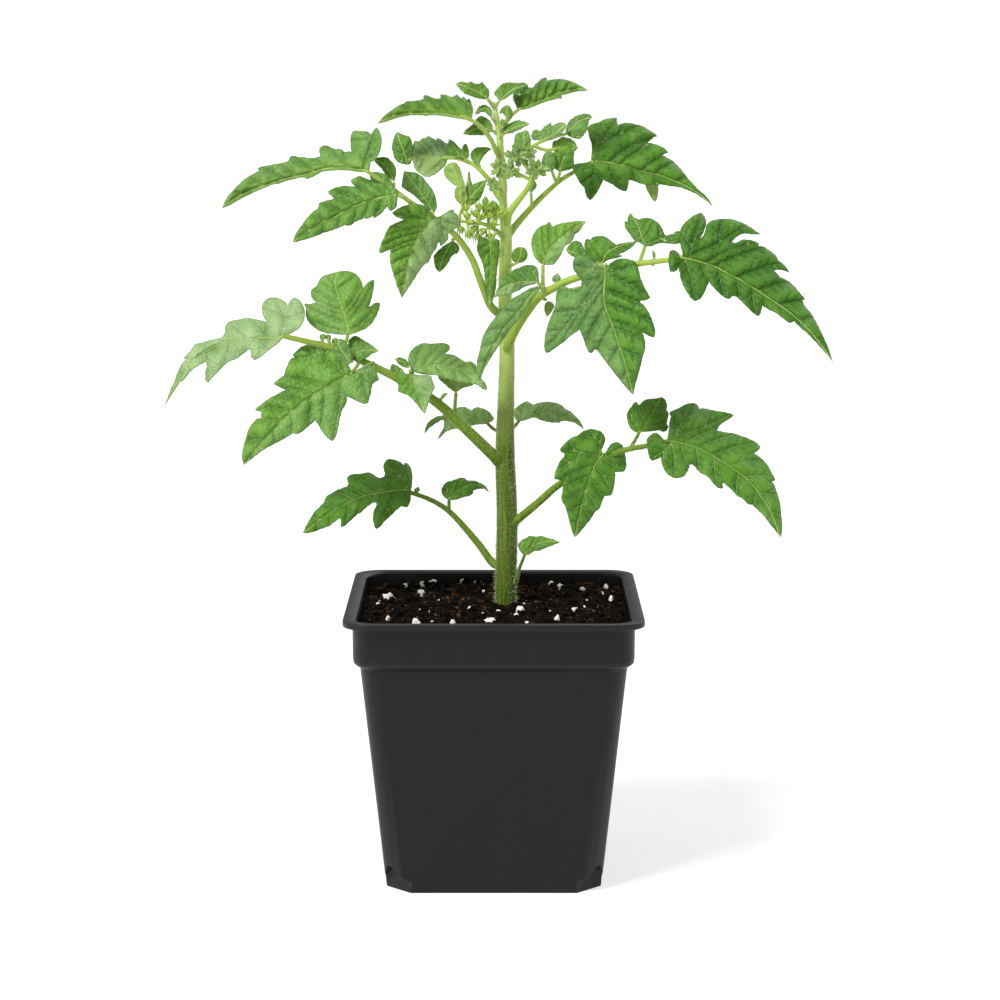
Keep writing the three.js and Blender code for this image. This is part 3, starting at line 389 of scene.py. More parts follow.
apply_modifier(pot, "BEVEL", width=EDGE_ROUND * MM, segments=3, limit_method="ANGLE", angle_limit=EDGE_TURN)
print("Pot wall ready:", len(pot.data.polygons), "faces")

# %% Pot corners and drain holes
# The outline of a cut corner from side to side: shares of its half width and of its height.
NOTCH = [(-1, -0.1), (1, -0.1), (0.9, 0.42), (0.42, 0.72), (0.12, 1), (-0.12, 1), (-0.42, 0.72), (-0.9, 0.42)]
NOTCH_DEPTH = 6.0
NOTCH_HEIGHT = 13.0
NOTCH_HALF = 10.0
NOTCH_REACH = 16.0
DRAIN_RADIUS = 4.0
DRAIN_SIDES = 28
DRAIN_SHARE = 0.55
CUT_ROUND = 0.18
CUT_TURN = math.radians(50)
SMOOTH_TURN = math.radians(32)


def notch_cutter(angle):
    """A block that takes away the bottom corner in one direction."""
    outward = np.array([math.cos(angle), math.sin(angle), 0])
    across = np.array([-math.sin(angle), math.cos(angle), 0])
    start = outward * (BASE_HALF - NOTCH_DEPTH) * math.sqrt(2)
    near = [start + across * side * NOTCH_HALF + [0, 0, up * NOTCH_HEIGHT] for side, up in NOTCH]
    far = [point + outward * NOTCH_REACH for point in near]
    count = len(NOTCH)
    walls = [[side, (side + 1) % count, (side + 1) % count + count, side + count] for side in range(count)]
    ends = [list(range(count))[::-1], list(range(count, 2 * count))]
    cutter = mesh_piece("cutter", [*near, *far], [*walls, *ends])
    point_faces_out(cutter)
    return cutter


def drain_drill(angle):
    away = BASE_HALF * DRAIN_SHARE
    place = (away * math.cos(angle) * MM, away * math.sin(angle) * MM, 0)
    return new_primitive(bpy.ops.mesh.primitive_cylinder_add, vertices=DRAIN_SIDES,
                         radius=DRAIN_RADIUS * MM, depth=3 * FLOOR_THICKNESS * MM, location=place)


def cut_with(piece, cutter):
    apply_modifier(piece, "BOOLEAN", operation="DIFFERENCE", solver="EXACT", object=cutter)
    bpy.data.objects.remove(cutter)


for corner in range(4):
    direction = (corner + 0.5) * math.pi / 2
    cut_with(pot, notch_cutter(direction))
    cut_with(pot, drain_drill(direction + math.pi / 4))

apply_modifier(pot, "BEVEL", width=CUT_ROUND * MM, segments=2, limit_method="ANGLE", angle_limit=CUT_TURN)
select_only(pot)
bpy.ops.object.shade_smooth_by_angle(angle=SMOOTH_TURN)
finish_piece(pot, "nursery_pot", [POT_PLASTIC], ["pot"])

# %% [markdown]
# Potting soil is milled peat: a nearly black brown mass of crumbs with paler root fibres. Perlite is volcanic
# glass puffed up by heat, so its grains are white, matt and pitted, and peat water stains some of them.

# %% Peat and perlite
def peat(name, dark, pale):
    material, tree = new_material(name)
    place = object_place(tree)
    damp = remapped(tree, soft_noise(tree, place, 5, Detail=6, Roughness=0.65), 0.42, 0.78, 0, 1)
    solid_surface(tree, {"Roughness": 0.95, "Specular IOR Level": 0.1},
                  {"Base Color": mixed(tree, damp, dark, pale),
                   "Normal": relief(tree, cell_noise(tree, place, 0.9), 0.9, 0.35)})
    return material


def perlite_glass():
    material, tree = new_material("expanded perlite")
    place = object_place(tree)
    stain = remapped(tree, soft_noise(tree, place, 2.2, Detail=4), 0.5, 0.85, 0, 1)
    solid_surface(tree, {"Roughness": 0.85},
                  {"Base Color": mixed(tree, stain, "#F0EBE4", "#B9A892"),
                   "Normal": relief(tree, cell_noise(tree, place, 0.45), 0.7, 0.15)})
    return material


DARK_PEAT = peat("damp milled peat", dark="#050301", pale="#180E06")
FIBRE_PEAT = peat("dry peat fibre", dark="#4A2E1C", pale="#8A6444")
PERLITE = perlite_glass()
print("Materials:", DARK_PEAT.name, FIBRE_PEAT.name, PERLITE.name, sep="; ")

# %% [markdown]
# The soil fills the pot. Its body is drawn up by rings as the pot was, a little smaller. Its top is a fine
# grid whose points are moved by a formula: highest at the stem, rough with clods, and rounded off at the
# corners.

# %% Soil body
SOIL_EDGE = 127.5
SOIL_MOUND = 2.1
GAP = 0.3
SOIL_HALF = COLLAR_HALF - WALL - GAP
SOIL_FLOOR_HALF = BASE_HALF - FLOOR_INSET - GAP
BODY_TOP = SOIL_EDGE - 2.5
STEM_X = 5.5

soil_body = rounded_plane(SOIL_FLOOR_HALF, FLOOR_THICKNESS + GAP)
draw_rings(soil_body, [
    (BASE_HALF - FOOT_INSET - GAP, FOOT_HEIGHT),
    (BASE_HALF - GAP, 2 * FOOT_HEIGHT),
    (WALL_HALF - WALL - GAP, STEP_BOTTOM),
    (SOIL_HALF, STEP_BOTTOM + STEP_HEIGHT),
    (SOIL_HALF, BODY_TOP),
], SOIL_FLOOR_HALF, FLOOR_THICKNESS + GAP)
finish_piece(soil_body, "soil_body", [DARK_PEAT], ["soil"])

# %% Soil surface
SOIL_GRID = 170
SOIL_CORNER = 10.5
SURFACE_DEPTH = 4
CORNER_FADE = 6
# Size and height of each kind of clod, in millimetres.
COARSE, MIDDLE, FINE = (6.0, 1.1), (3.0, 1.5), (1.3, 0.9)
CLOD_SINK = 0.6


def soil_height(x, y):
    away = math.hypot(x - STEM_X, y) / COLLAR_HALF
    waves = 0.5 * math.sin(x * 0.21 + 1) * math.cos(y * 0.17) + 0.35 * math.sin(x * 0.37 - y * 0.31)
    return SOIL_EDGE + SOIL_MOUND * max(0, 1 - away * away) + waves * min(1, 3 * abs(1 - away))


def clods(x, y):
    """How high three kinds of clods stand on the surface, in millimetres."""
    place = Vector((x, y, 0))
    coarse = noise.noise(place / COARSE[0])
    middle = abs(noise.noise(place / MIDDLE[0] + Vector((7, 3, 1))))
    fine = abs(noise.noise(place / FINE[0] + Vector((2, 9, 4))))
    return COARSE[1] * coarse + MIDDLE[1] * middle + FINE[1] * fine - CLOD_SINK


def rounded_share(x, y):
    """How far a point of the square moves in, so that the corners follow the pot's."""
    reach = max(abs(x), abs(y))
    if reach == 0:
        return 1
    corner = SOIL_CORNER / SOIL_HALF
    u, v = sorted((abs(x) / reach, abs(y) / reach))
    straight = 1 - corner
    if u <= straight:
        return 1
    slope = u / v
    a = 1 + slope * slope
    b = -2 * straight * (1 + slope)
    c = 2 * straight * straight - corner * corner
    edge = (-b + math.sqrt(b * b - 4 * a * c)) / (2 * a)
    return 1 - (1 - edge) * (reach ** CORNER_FADE)


soil_top = new_primitive(bpy.ops.mesh.primitive_grid_add, x_subdivisions=SOIL_GRID,
                         y_subdivisions=SOIL_GRID, size=2)
for vertex in soil_top.data.vertices:
    share = rounded_share(vertex.co.x, vertex.co.y) * SOIL_HALF
    x, y = vertex.co.x * share, vertex.co.y * share
    vertex.co = Vector((x, y, soil_height(x, y) + clods(x, y))) * MM
select_only(soil_top)
bpy.ops.object.mode_set(mode="EDIT")
bpy.ops.mesh.select_all(action="SELECT")
bpy.ops.mesh.extrude_region_move(TRANSFORM_OT_translate={"value": (0, 0, -SURFACE_DEPTH * MM)})
bpy.ops.object.mode_set(mode="OBJECT")
point_faces_out(soil_top)
bpy.ops.object.shade_smooth()
finish_piece(soil_top, "soil_surface", [DARK_PEAT], ["soil"])

# %% [markdown]
# Loose crumbs, root fibres and perlite grains lie in the surface. One lump is an icosphere whose points are
# moved in and out by noise. Each copy gets its own noise, size and turn from a seeded row of random numbers.

# %% Lumps
LUMP_NOISE = 1.4
LUMP_SIDES = (0.72, 1.25)
NOISE_SHIFT = 50


def sphere_shape(level):
    ball = new_primitive(bpy.ops.mesh.primitive_ico_sphere_add, subdivisions=level, radius=1)
    points = np.array([vertex.co[:] for vertex in ball.data.vertices])
    faces = [list(face.vertices) for face in ball.data.polygons]
    bpy.data.objects.remove(ball)
    return points, faces


def spin(turn):
    """The matrix of a turn about the upright axis."""
    cosine, sine = math.cos(turn), math.sin(turn)
    return np.array([[cosine, -sine, 0], [sine, cosine, 0], [0, 0, 1]])


def lumps(name, places, level, roughness, seed):
    """Irregular grains at (x, y, z, radius) in millimetres, all in one mesh."""
    random = np.random.default_rng(seed)
    shape, shape_faces = sphere_shape(level)
    points, faces = [], []
    for x, y, z, radius in places:
        shift = Vector(random.uniform(-NOISE_SHIFT, NOISE_SHIFT, 3))
        moves = [1 + roughness * noise.noise(Vector(point) * LUMP_NOISE + shift) for point in shape]
        sides = random.uniform(*LUMP_SIDES, 3)
        grain = shape * np.array(moves)[:, None] * sides * radius
        turn = random.uniform(0, 2 * math.pi)
        start = len(points)
        points.extend(grain @ spin(turn).T + [x, y, z])
        faces.extend([[corner + start for corner in face] for face in shape_faces])
    piece = mesh_piece(name, points, faces)
    select_only(piece)
    bpy.ops.object.shade_smooth()
    return piece


# %% Loose crumbs
EDGE_ROOM = 2.5
STEM_ROOM = 6.5
CORNER_REACH = 1.86
SMALL_BIAS = 2.5


def soil_places(count, smallest, largest, sink, seed):
    """Places on the soil as (x, y, z, radius), more of them small than large."""
    random = np.random.default_rng(seed)
    limit = SOIL_HALF - EDGE_ROOM
    places = []
    while len(places) < count:
        x, y = random.uniform(-limit, limit, 2)
        radius = smallest + (largest - smallest) * random.random() ** SMALL_BIAS
        if math.hypot(x - STEM_X, y) < STEM_ROOM or abs(x) + abs(y) > CORNER_REACH * limit:
            continue
        places.append((x, y, soil_height(x, y) + clods(x, y) + sink * radius, radius))
    return places


crumb_places = soil_places(count=1500, smallest=0.45, largest=2.1, sink=0.15, seed=11)
finish_piece(lumps("crumbs", crumb_places, level=2, roughness=0.75, seed=12), "soil_crumbs",
             [DARK_PEAT])
pale_places = soil_places(count=260, smallest=0.3, largest=1.0, sink=0.35, seed=13)
finish_piece(lumps("pale_crumbs", pale_places, level=2, roughness=0.8, seed=14), "soil_pale_crumbs",
             [FIBRE_PEAT])

# %% Perlite grains
# Column, row and radius of the perlite grains that show in the front view.
PERLITE_SEEN = [
    (463, 579, 1.7), (433, 582, 1.6), (405, 585, 1.5), (422, 583, 1.3), (479, 582, 1.6), (389, 598, 2.4),
    (378, 604, 1.5), (421, 593, 1.6), (416, 623, 2.2), (453, 624, 1.6), (489, 623, 2.3), (520, 614, 2.4),
    (527, 623, 1.5), (557, 621, 1.5), (575, 612, 1.7), (575, 602, 1.5), (552, 583, 1.4), (560, 587, 1.6),
    (583, 589, 1.5), (606, 586, 1.3), (601, 595, 1.6), (611, 600, 1.5), (470, 613, 1.5), (388, 617, 1.5),
]
GRAIN_RISE = 0.35
GRAIN_ROOM = 1.3


def view_rays(columns, rows):
    """How far the sight line through a place of the front view goes right, forward and up at each step."""
    right = (columns - VIEW_CENTRE) / VIEW_FOCUS
    up = (VIEW_CENTRE - rows) / VIEW_FOCUS
    forward = math.cos(PITCH) + up * math.sin(PITCH)
    rise = up * math.cos(PITCH) - math.sin(PITCH)
    return right, forward, rise


def on_soil(column, row, radius):
    right, forward, rise = view_rays(column, row)
    reach = (SOIL_EDGE + 1 - EYE.z) / rise
    limit = SOIL_HALF - GRAIN_ROOM * radius
    x = min(max(EYE.x + right * reach, -limit), limit)
    y = min(max(EYE.y + forward * reach, -limit), limit)
    return x, y, soil_height(x, y) + clods(x, y) + GRAIN_RISE * radius, radius


small_grains = soil_places(count=46, smallest=0.4, largest=1.1, sink=0.3, seed=15)
perlite_places = [on_soil(*grain) for grain in PERLITE_SEEN] + small_grains
finish_piece(lumps("grains", perlite_places, level=3, roughness=0.6, seed=16), "perlite_grains",
             [PERLITE])

# %% [markdown]
# A stem, stalk, rib or fibre is a round form along a line, so each is a curve with a radius at every point.
# Blender gives the curve its round section, and the convert operator makes it a mesh.

# %% Tubes along lines
def smooth_line(points, step):
    """Points on a smooth line through the given ones, about a step apart."""
    points = np.asarray(points, float)
    ends = [2 * points[0] - points[1], *points, 2 * points[-1] - points[-2]]
    line = []
    for before, start, end, after in zip(ends, ends[1:], ends[2:], ends[3:]):
        count = max(1, math.ceil(np.linalg.norm(end - start) / step))
        for share in np.arange(count) / count:
            line.append(0.5 * (2 * start + (end - before) * share
                               + (2 * before - 5 * start + 4 * end - after) * share ** 2
                               + (3 * start - before - 3 * end + after) * share ** 3))
    return np.array([*line, points[-1]])


def lengths_along(line):
    """How far along a line each of its points lies."""
    return np.concatenate([[0], np.cumsum(np.linalg.norm(np.diff(line, axis=0), axis=1))])


def tubes(name, runs, sides_level=1):
    """One mesh of closed round forms. A run is points in millimetres with a radius for each."""
    curve = bpy.data.curves.new(name, "CURVE")
    curve.dimensions = "3D"
    curve.bevel_depth = MM
    curve.bevel_resolution = sides_level
    curve.use_fill_caps = True
    for points, radii in runs:
        spline = curve.splines.new("POLY")
        spline.points.add(len(points) - 1)
        spline.points.foreach_set("co", np.column_stack([points * MM, np.ones(len(points))]).ravel())
        spline.points.foreach_set("radius", np.asarray(radii, float))
    piece = bpy.data.objects.new(name, curve)
    bpy.context.scene.collection.objects.link(piece)
    select_only(piece)
    bpy.ops.object.convert(target="MESH")
    bpy.ops.object.shade_smooth()
    return bpy.context.object


# %% Fibres in the soil
FIBRE_RADII = (0.09, 0.2)
FIBRE_STEP = 1.2
FIBRE_KEYS = 7
FIBRE_LOW = 0.25
FIBRE_RISE = 0.5


def on_surface(value):
    """Keeps a coordinate a millimetre inside the soil's edge."""
    return min(max(value, -SOIL_HALF + 1), SOIL_HALF - 1)


def fibre_runs(count, seed):
    random = np.random.default_rng(seed)
    runs = []
    for x, y, z, size in soil_places(count, smallest=2.0, largest=8.0, sink=0, seed=seed + 1):
        turn = random.uniform(0, 2 * math.pi)
        bend = random.uniform(-1, 1)
        keys = []
        for share in np.linspace(-0.5, 0.5, FIBRE_KEYS):
            heading = turn + bend * share
            px = on_surface(x + size * share * math.cos(heading))
            py = on_surface(y + size * share * math.sin(heading))
            height = soil_height(px, py) + clods(px, py) + FIBRE_LOW + FIBRE_RISE * random.random()
            keys.append((px, py, height))
        thick = random.uniform(*FIBRE_RADII)
        line = smooth_line(keys, FIBRE_STEP)
        runs.append((line, np.linspace(thick, 0.5 * thick, len(line))))
    return runs


finish_piece(tubes("fibres", fibre_runs(count=420, seed=21), 0), "soil_fibres", [FIBRE_PEAT])

# %% [markdown]
# The skin of a tomato stem is green flesh under a clear hide: darker and more yellow near the soil, pale
# where it is young. Fine ribs run along it. The hairs on it are glassy and white.

# %% Stem and hair materials
def stem_skin(name, low, high, pale, dark, low_height, high_height, fuzz):
    """Green flesh that goes from one colour to the other between two heights in millimetres."""
    material, tree = new_material(name)
    place = object_place(tree)
    height = add_node(tree, "ShaderNodeSeparateXYZ", {}, {0: place}).outputs["Z"]
    drawn_up = add_node(tree, "ShaderNodeMapping", {"Scale": (1.0, 1.0, 0.06)}, {"Vector": place})
    streaks = soft_noise(tree, drawn_up.outputs[0], 1.1, Detail=4)
    patches = soft_noise(tree, place, 9, Detail=3)
    colour = mixed(tree, remapped(tree, height, low_height * MM, high_height * MM, 0, 1), low, high)
    colour = mixed(tree, remapped(tree, streaks, 0.35, 0.7, 0, 0.35), colour, pale)
    colour = mixed(tree, remapped(tree, patches, 0.45, 0.8, 0, 0.3), colour, dark)
    thin_surface(tree,
                 {"Roughness": 0.5, "IOR": 1.42, "Specular IOR Level": 0.3, "Sheen Weight": fuzz,
                  "Sheen Roughness": 0.3, "Sheen Tint": linear("#F4F8DC")},
                 {"Base Color": colour, "Normal": relief(tree, streaks, 0.5, 0.15)},
                 0.12, {"Color": colour})
    return material


def hair_material():
    material, tree = new_material("clear plant hair")
    colour = mixed(tree, soft_noise(tree, object_place(tree), 6), "#F6F8E6", "#D5DDA8")
    thin_surface(tree, {"Roughness": 0.35}, {"Base Color": colour}, 0.4, {"Color": colour})
    return material


STEM_SKIN = stem_skin("hairy tomato stem", low="#445E02", high="#D0EA80", pale="#98B244", dark="#446004",
                      low_height=205, high_height=275, fuzz=0.5)
STALK_SKIN = stem_skin("leaf stalk", low="#587A04", high="#A8C44C", pale="#A0BA44", dark="#4E700C",
                       low_height=205, high_height=300, fuzz=0.4)
RIB_SKIN = stem_skin("leaf rib", low="#7EA23C", high="#A6C464", pale="#AECA70", dark="#648C2E",
                     low_height=190, high_height=300, fuzz=0.2)
HAIR = hair_material()
print("Materials:", STEM_SKIN.name, STALK_SKIN.name, RIB_SKIN.name, HAIR.name, sep="; ")

# %% [markdown]
# A leaf is thin flesh between two skins. The upper skin is deep green and slightly glossy, with sunken veins,
# and the net of finest veins splits it into fields of about 2 mm. The underside is paler and matt. Light that
# comes from behind turns yellow-green inside. The blade's mesh carries layers of values: distances in
# millimetres to the midrib, the side veins, their twigs and the edge, so that veins are drawn at their real
# widths, and shares from 0 to 1. Tone is how young and yellow the flesh is, crest how high a field stands and
# how much painted light it gets, warm the yellow flush along the midrib, the down-and-sheen share the pale
# down together with a painted sheen, set for each half where one half catches the light, and smooth a young
# blade whose veins are pale and wide where older ones are sunk in creases. Shade is painted into the colour:
# the creases along the veins and the lines of the finest net are darker. A thin band along the edge is darker
# as well.

# %% Leaf materials
FLUSH = "#93BE1C"
# The pale colour of the down, also used as a painted sheen where a blade half catches the light.
DOWN_AND_SHEEN = "#C6DCAC"
LAYERS = ("rib_mm", "vein_mm", "twig_mm", "edge_mm", "tone", "crest_light", "warm", "bloom", "smooth")


def blade_colour(tree, place, net, layer, deep, fresh, crease, young, vein):
    """The colours of a blade, laid over each other from the flesh up to the rim."""
    shade = remapped(tree, soft_noise(tree, place, 24, Detail=2, Roughness=0.5), 0.34, 0.66, -0.12, 0.16)
    # Painted light: raised crests are mixed towards the fresher green, and the sunken veins stay in the deep
    # green.
    bright = add_node(tree, "ShaderNodeMath", {"operation": "ADD", "use_clamp": True},
                      {0: shade, 1: layer["crest_light"]}).outputs[0]
    colour = mixed(tree, bright, deep, fresh)
    colour = mixed(tree, layer["tone"], colour, young)
    colour = mixed(tree, layer["warm"], colour, FLUSH)
    # Pale down with a painted sheen: where it is set for each half, the half that catches the light is painted
    # paler.
    colour = mixed(tree, layer["bloom"], colour, DOWN_AND_SHEEN)
    # Painted shade: the lines of the finest vein net are darkened towards the deep green, as their creases hold
    # shade.
    colour = mixed(tree, remapped(tree, net, 0, 0.12, 0.27, 0), colour, deep)
    # Painted shade: the creases along the twigs and side veins are darkened, less on smooth blades.
    colour = mixed(tree, remapped(tree, layer["twig_mm"], 0.04, 0.3, 0.4, 0), colour, crease)
    crease_depth = remapped(tree, layer["smooth"], 0, 1, 0.5, 0.05)
    colour = mixed(tree, remapped(tree, layer["vein_mm"], 0.08, 0.42, crease_depth, 0), colour, crease)
    vein_width = remapped(tree, layer["smooth"], 0, 1, 0.17, 0.32)
    colour = mixed(tree, remapped(tree, layer["vein_mm"], 0.04, vein_width, 0.6, 0), colour, vein)
    colour = mixed(tree, remapped(tree, layer["rib_mm"], 0.12, 0.42, 0.7, 0), colour, vein)
    # A thin band along the edge is darkened with the same colour.
    return mixed(tree, remapped(tree, layer["edge_mm"], 0, 0.4, 0.35, 0), colour, crease)


def blade_skin(name, through, rough, glow_share, **colours):
    material, tree = new_material(name)
    place = add_node(tree, "ShaderNodeUVMap", {"uv_map": "blade"}).outputs["UV"]
    layer = {key: add_node(tree, "ShaderNodeAttribute", {"attribute_name": key}).outputs["Fac"]
             for key in LAYERS}
    net = cell_noise(tree, place, 2.1, feature="DISTANCE_TO_EDGE")
    grain = soft_noise(tree, place, 0.55, Detail=3)
    colour = blade_colour(tree, place, net, layer, **colours)
    normal = relief(tree, remapped(tree, net, 0, 0.3, 0, 1), 0.65, 0.3)
    normal = relief(tree, grain, 0.4, 0.06, Normal=normal)
    thin_surface(tree,
                 {"IOR": 1.42, "Specular IOR Level": 0.45, "Sheen Weight": 0.12, "Sheen Roughness": 0.4,
                  "Sheen Tint": linear("#E4F0CC")},
                 {"Base Color": colour, "Normal": normal,
                  "Roughness": remapped(tree, grain, 0, 1, rough - 0.08, rough + 0.1)},
                 glow_share, {"Color": mixed(tree, 0.6, colour, through), "Normal": normal})
    return material


# Each skin's crease colour is the painted shade of its creases.
UPPER_SKIN = blade_skin("tomato leaf upper skin", deep="#2C6406", fresh="#6CA434", crease="#1E4E04",
                        young="#8CBC44", vein="#B8D078", through="#9CCC34", rough=0.46, glow_share=0.22)
LOWER_SKIN = blade_skin("tomato leaf underside", deep="#86A650", fresh="#A6C46A", crease="#6E943E",
                        young="#B0CE66", vein="#C4D88A", through="#B0D054", rough=0.62, glow_share=0.3)
print("Materials:", UPPER_SKIN.name, LOWER_SKIN.name, sep="; ")

# %% [markdown]
# A leaf's shape is known best from the front, so its places are columns and rows of the front view with a
# depth in millimetres along +Y. Flat places have their rows turned up, so that a left turn is a left turn.

# %% From the front view to points
def seen(places, depths):
    places = np.asarray(places, float)
    depths = np.asarray(depths, float)
    right, forward, rise = view_rays(places[:, 0], places[:, 1])
    reach = (depths - EYE.y) / forward
    return np.column_stack([EYE.x + right * reach, depths, EYE.z + rise * reach])


def seen_line(places):
    places = np.asarray(places, float)
    return seen(places[:, :2], places[:, 2])


def flat(places):
    return np.asarray(places, float) * (1, -1)


def turned(direction, angle):
    cosine, sine = math.cos(angle), math.sin(angle)
    return np.array([cosine * direction[0] - sine * direction[1],
                     sine * direction[0] + cosine * direction[1]])


def cross(a, b):
    return a[..., 0] * b[..., 1] - a[..., 1] * b[..., 0]


print("Pot's middle is seen at:", seen([(500, 500)], [0]).round(1).tolist())

# %% [markdown]
# The edge of a blade is sharp at the tips and notches of its lobes and bows outwards between them. Each
# stretch is a cubic curve: at a soft bend both neighbours share one direction, at a sharp one each keeps
# its own. Then the line is smoothed a little everywhere but at notches and sharp tips, and gets small teeth.

# %% Edge of a blade
SOFT_TURN = math.cos(math.radians(42))
SHARP_TURN = math.cos(math.radians(55))
NOTCH_TURN = 0.2
BOW = math.radians(20)
SMOOTHINGS = 2
SAME_KEY = 1e-6
TINY = 1e-9
DRIFT_RATE = 0.11
DRIFT = 0.9
TOOTH_MIDDLE = 0.6
TOOTH_FADE = 1.2


def edge_directions(keys, side):
    """How the edge leaves and reaches each key place, and its plain heading in each stretch."""
    runs = np.diff(keys, axis=0)
    lengths = np.linalg.norm(runs, axis=1)
    plain = runs / lengths[:, None]
    leaving, arriving = plain.copy(), plain.copy()
    for index in range(len(runs) - 1):
        here, after = plain[index], plain[index + 1]
        if here @ after > SOFT_TURN:
            mean = (here + after) / np.linalg.norm(here + after)
            arriving[index], leaving[index + 1] = mean, mean
        else:
            arriving[index] = turned(here, -BOW * side)
            leaving[index + 1] = turned(after, BOW * side)
    return plain, lengths, leaving, arriving


def smoothed(line, keys, plain, side):
    """Evens a line out, except for its ends, notches and sharp tips."""
    turns = [(cross(here, after) * side, here @ after) for here, after in zip(plain[:-1], plain[1:])]
    corners = [key for key, (inwards, ahead) in zip(keys[1:-1], turns)
               if inwards > NOTCH_TURN or ahead < SHARP_TURN]
    free = np.array([all(abs(place - corner).max() > SAME_KEY for corner in corners) for place in line])
    free[[0, -1]] = False
    for _ in range(SMOOTHINGS):
        middle = line.copy()
        middle[1:-1] = (line[:-2] + line[2:]) / 2
        line[free] = 0.5 * (line[free] + middle[free])
    return line


def margin(keys, side, step, teeth, seed):
    """The edge from base to tip through its key places. Side is 1 where it lies left of the rib, else -1."""
    tooth_height, tooth_length = teeth
    plain, lengths, leaving, arriving = edge_directions(keys, side)
    line = []
    for index, length in enumerate(lengths):
        count = max(1, math.ceil(length / step))
        for share in np.arange(count) / count:
            square, cube = share ** 2, share ** 3
            line.append((2 * cube - 3 * square + 1) * keys[index]
                        + (cube - 2 * square + share) * length * leaving[index]
                        + (3 * square - 2 * cube) * keys[index + 1]
                        + (cube - square) * length * arriving[index])
    line = smoothed(np.array([*line, keys[-1]]), keys, plain, side)
    headings = np.gradient(line, axis=0)
    headings /= np.linalg.norm(headings, axis=1)[:, None] + TINY
    outwards = np.column_stack([-headings[:, 1], headings[:, 0]]) * side
    along = lengths_along(line)
    drift = np.array([noise.noise(Vector((place * DRIFT_RATE, seed, 0.5))) for place in along])
    scallops = abs(np.sin(math.pi * (along / tooth_length + DRIFT * drift + seed))) - TOOTH_MIDDLE
    fade = np.clip(np.minimum(along, along[-1] - along) / (TOOTH_FADE * tooth_length), 0, 1)
    return line + outwards * (tooth_height * scallops * fade)[:, None]


# %% Distances in the flat
def nearest(points, line):
    """The distance of each point to a line, and how far along the line its nearest place is."""
    best = np.full(len(points), np.inf)
    along = np.zeros(len(points))
    start_length = 0.0
    for start, end in zip(line[:-1], line[1:]):
        run = end - start
        length = np.linalg.norm(run) + TINY
        share = np.clip((points - start) @ run / length ** 2, 0, 1)
        distance = np.linalg.norm(points - start - share[:, None] * run, axis=1)
        closer = distance < best
        best = np.where(closer, distance, best)
        along = np.where(closer, start_length + share * length, along)
        start_length += length
    return best, along


def closest(points, lines, otherwise):
    """The distance of each point to the closest of some lines, or another value where there are none."""
    return np.min([nearest(points, line)[0] for line in lines] or [otherwise], axis=0)


def inside(points, outline):
    """Whether each point is inside a closed outline."""
    result = np.zeros(len(points), bool)
    for start, end in zip(outline, np.roll(outline, -1, axis=0)):
        between = (start[1] > points[:, 1]) != (end[1] > points[:, 1])
        rise = end[1] - start[1] if end[1] != start[1] else TINY
        crossing = start[0] + (points[:, 1] - start[1]) * (end[0] - start[0]) / rise
        result ^= between & (points[:, 0] < crossing)
    return result


# %% [markdown]
# Side veins run from the midrib to the tips of the lobes, steeply at first, and then bend towards their lobe.
# Where the midrib has no room for one more, a vein forks from the closest vein instead. Each carries short
# twigs to both sides. They are worked out from the edge by a rule, since no two leaflets have the same ones.

# %% Veins of a blade
VEIN_SLANT = 0.85
VEIN_ROOM = 0.4
VEIN_END = 0.94
VEIN_STEP = 2.2
FIRST_VEIN = 0.3
LAST_VEIN = 0.94
SHORTEST_VEIN = 2.5
TWIG_GAP = 9.0
TWIG_TURN = 0.85
TWIG_STEP = 1.8
TWIG_LENGTH = 0.4
# Shares of the gap: before the first twig, after the last one, and between neighbours on opposite sides.
TWIG_SHARES = (0.6, 0.3, 0.5)
# How much chance moves, turns and lengthens a twig, and how fast it changes from place to place.
TWIG_SHIFT = 3
TWIG_SWING = 0.4
TWIG_GROWTH = 0.25
CHANCE_RATES = (0.37, 0.31)
TWIG_BEND = 0.05
BEND_OUTWARD = 0.5
BEND_ALONG = 0.36
TIP_WINDOW = 0.45
TIP_GAP = 0.55
TIP_WIDTH = 0.12
TARGET_GAP = 1.2


def vein_targets(line, rib, spacing):
    """Places on the edge for side veins: the tips of the lobes first, then some in the stretches between."""
    lengths = lengths_along(line)
    widths = nearest(line, rib)[0]
    tips = [0.0]
    for place, width in zip(lengths, widths):
        widest = width >= widths[abs(lengths - place) < TIP_WINDOW * spacing].max()
        if widest and place > tips[-1] + TIP_GAP * spacing and width > TIP_WIDTH * spacing:
            tips.append(place)
    tips.append(lengths[-1])
    targets = tips[1:-1]
    for start, end in zip(tips[:-1], tips[1:]):
        count = max(1, round((end - start) / spacing / TARGET_GAP))
        targets += [start + (end - start) * number / count for number in range(1, count)]
    return [line[np.argmin(abs(lengths - target))] for target in targets]


def vein_start(target, parent, earliest):
    """How far along its parent a vein starts, so that it slants towards its target."""
    distance, along = nearest(target[None], parent)
    return max(along[0] - VEIN_SLANT * distance[0], earliest)


def bent_vein(start, heading, reach, length):
    """A vein that leaves outwards from its parent and bends along it."""
    end = start + reach * VEIN_END
    outward = np.array([-heading[1], heading[0]]) * (1 if cross(heading, reach) > 0 else -1)
    control = start + outward * BEND_OUTWARD * abs(reach @ outward) + heading * BEND_ALONG * (reach @ heading)
    shares = np.linspace(0, 1, max(3, math.ceil(length / VEIN_STEP)))[:, None]
    return (1 - shares) ** 2 * start + 2 * shares * (1 - shares) * control + shares ** 2 * end


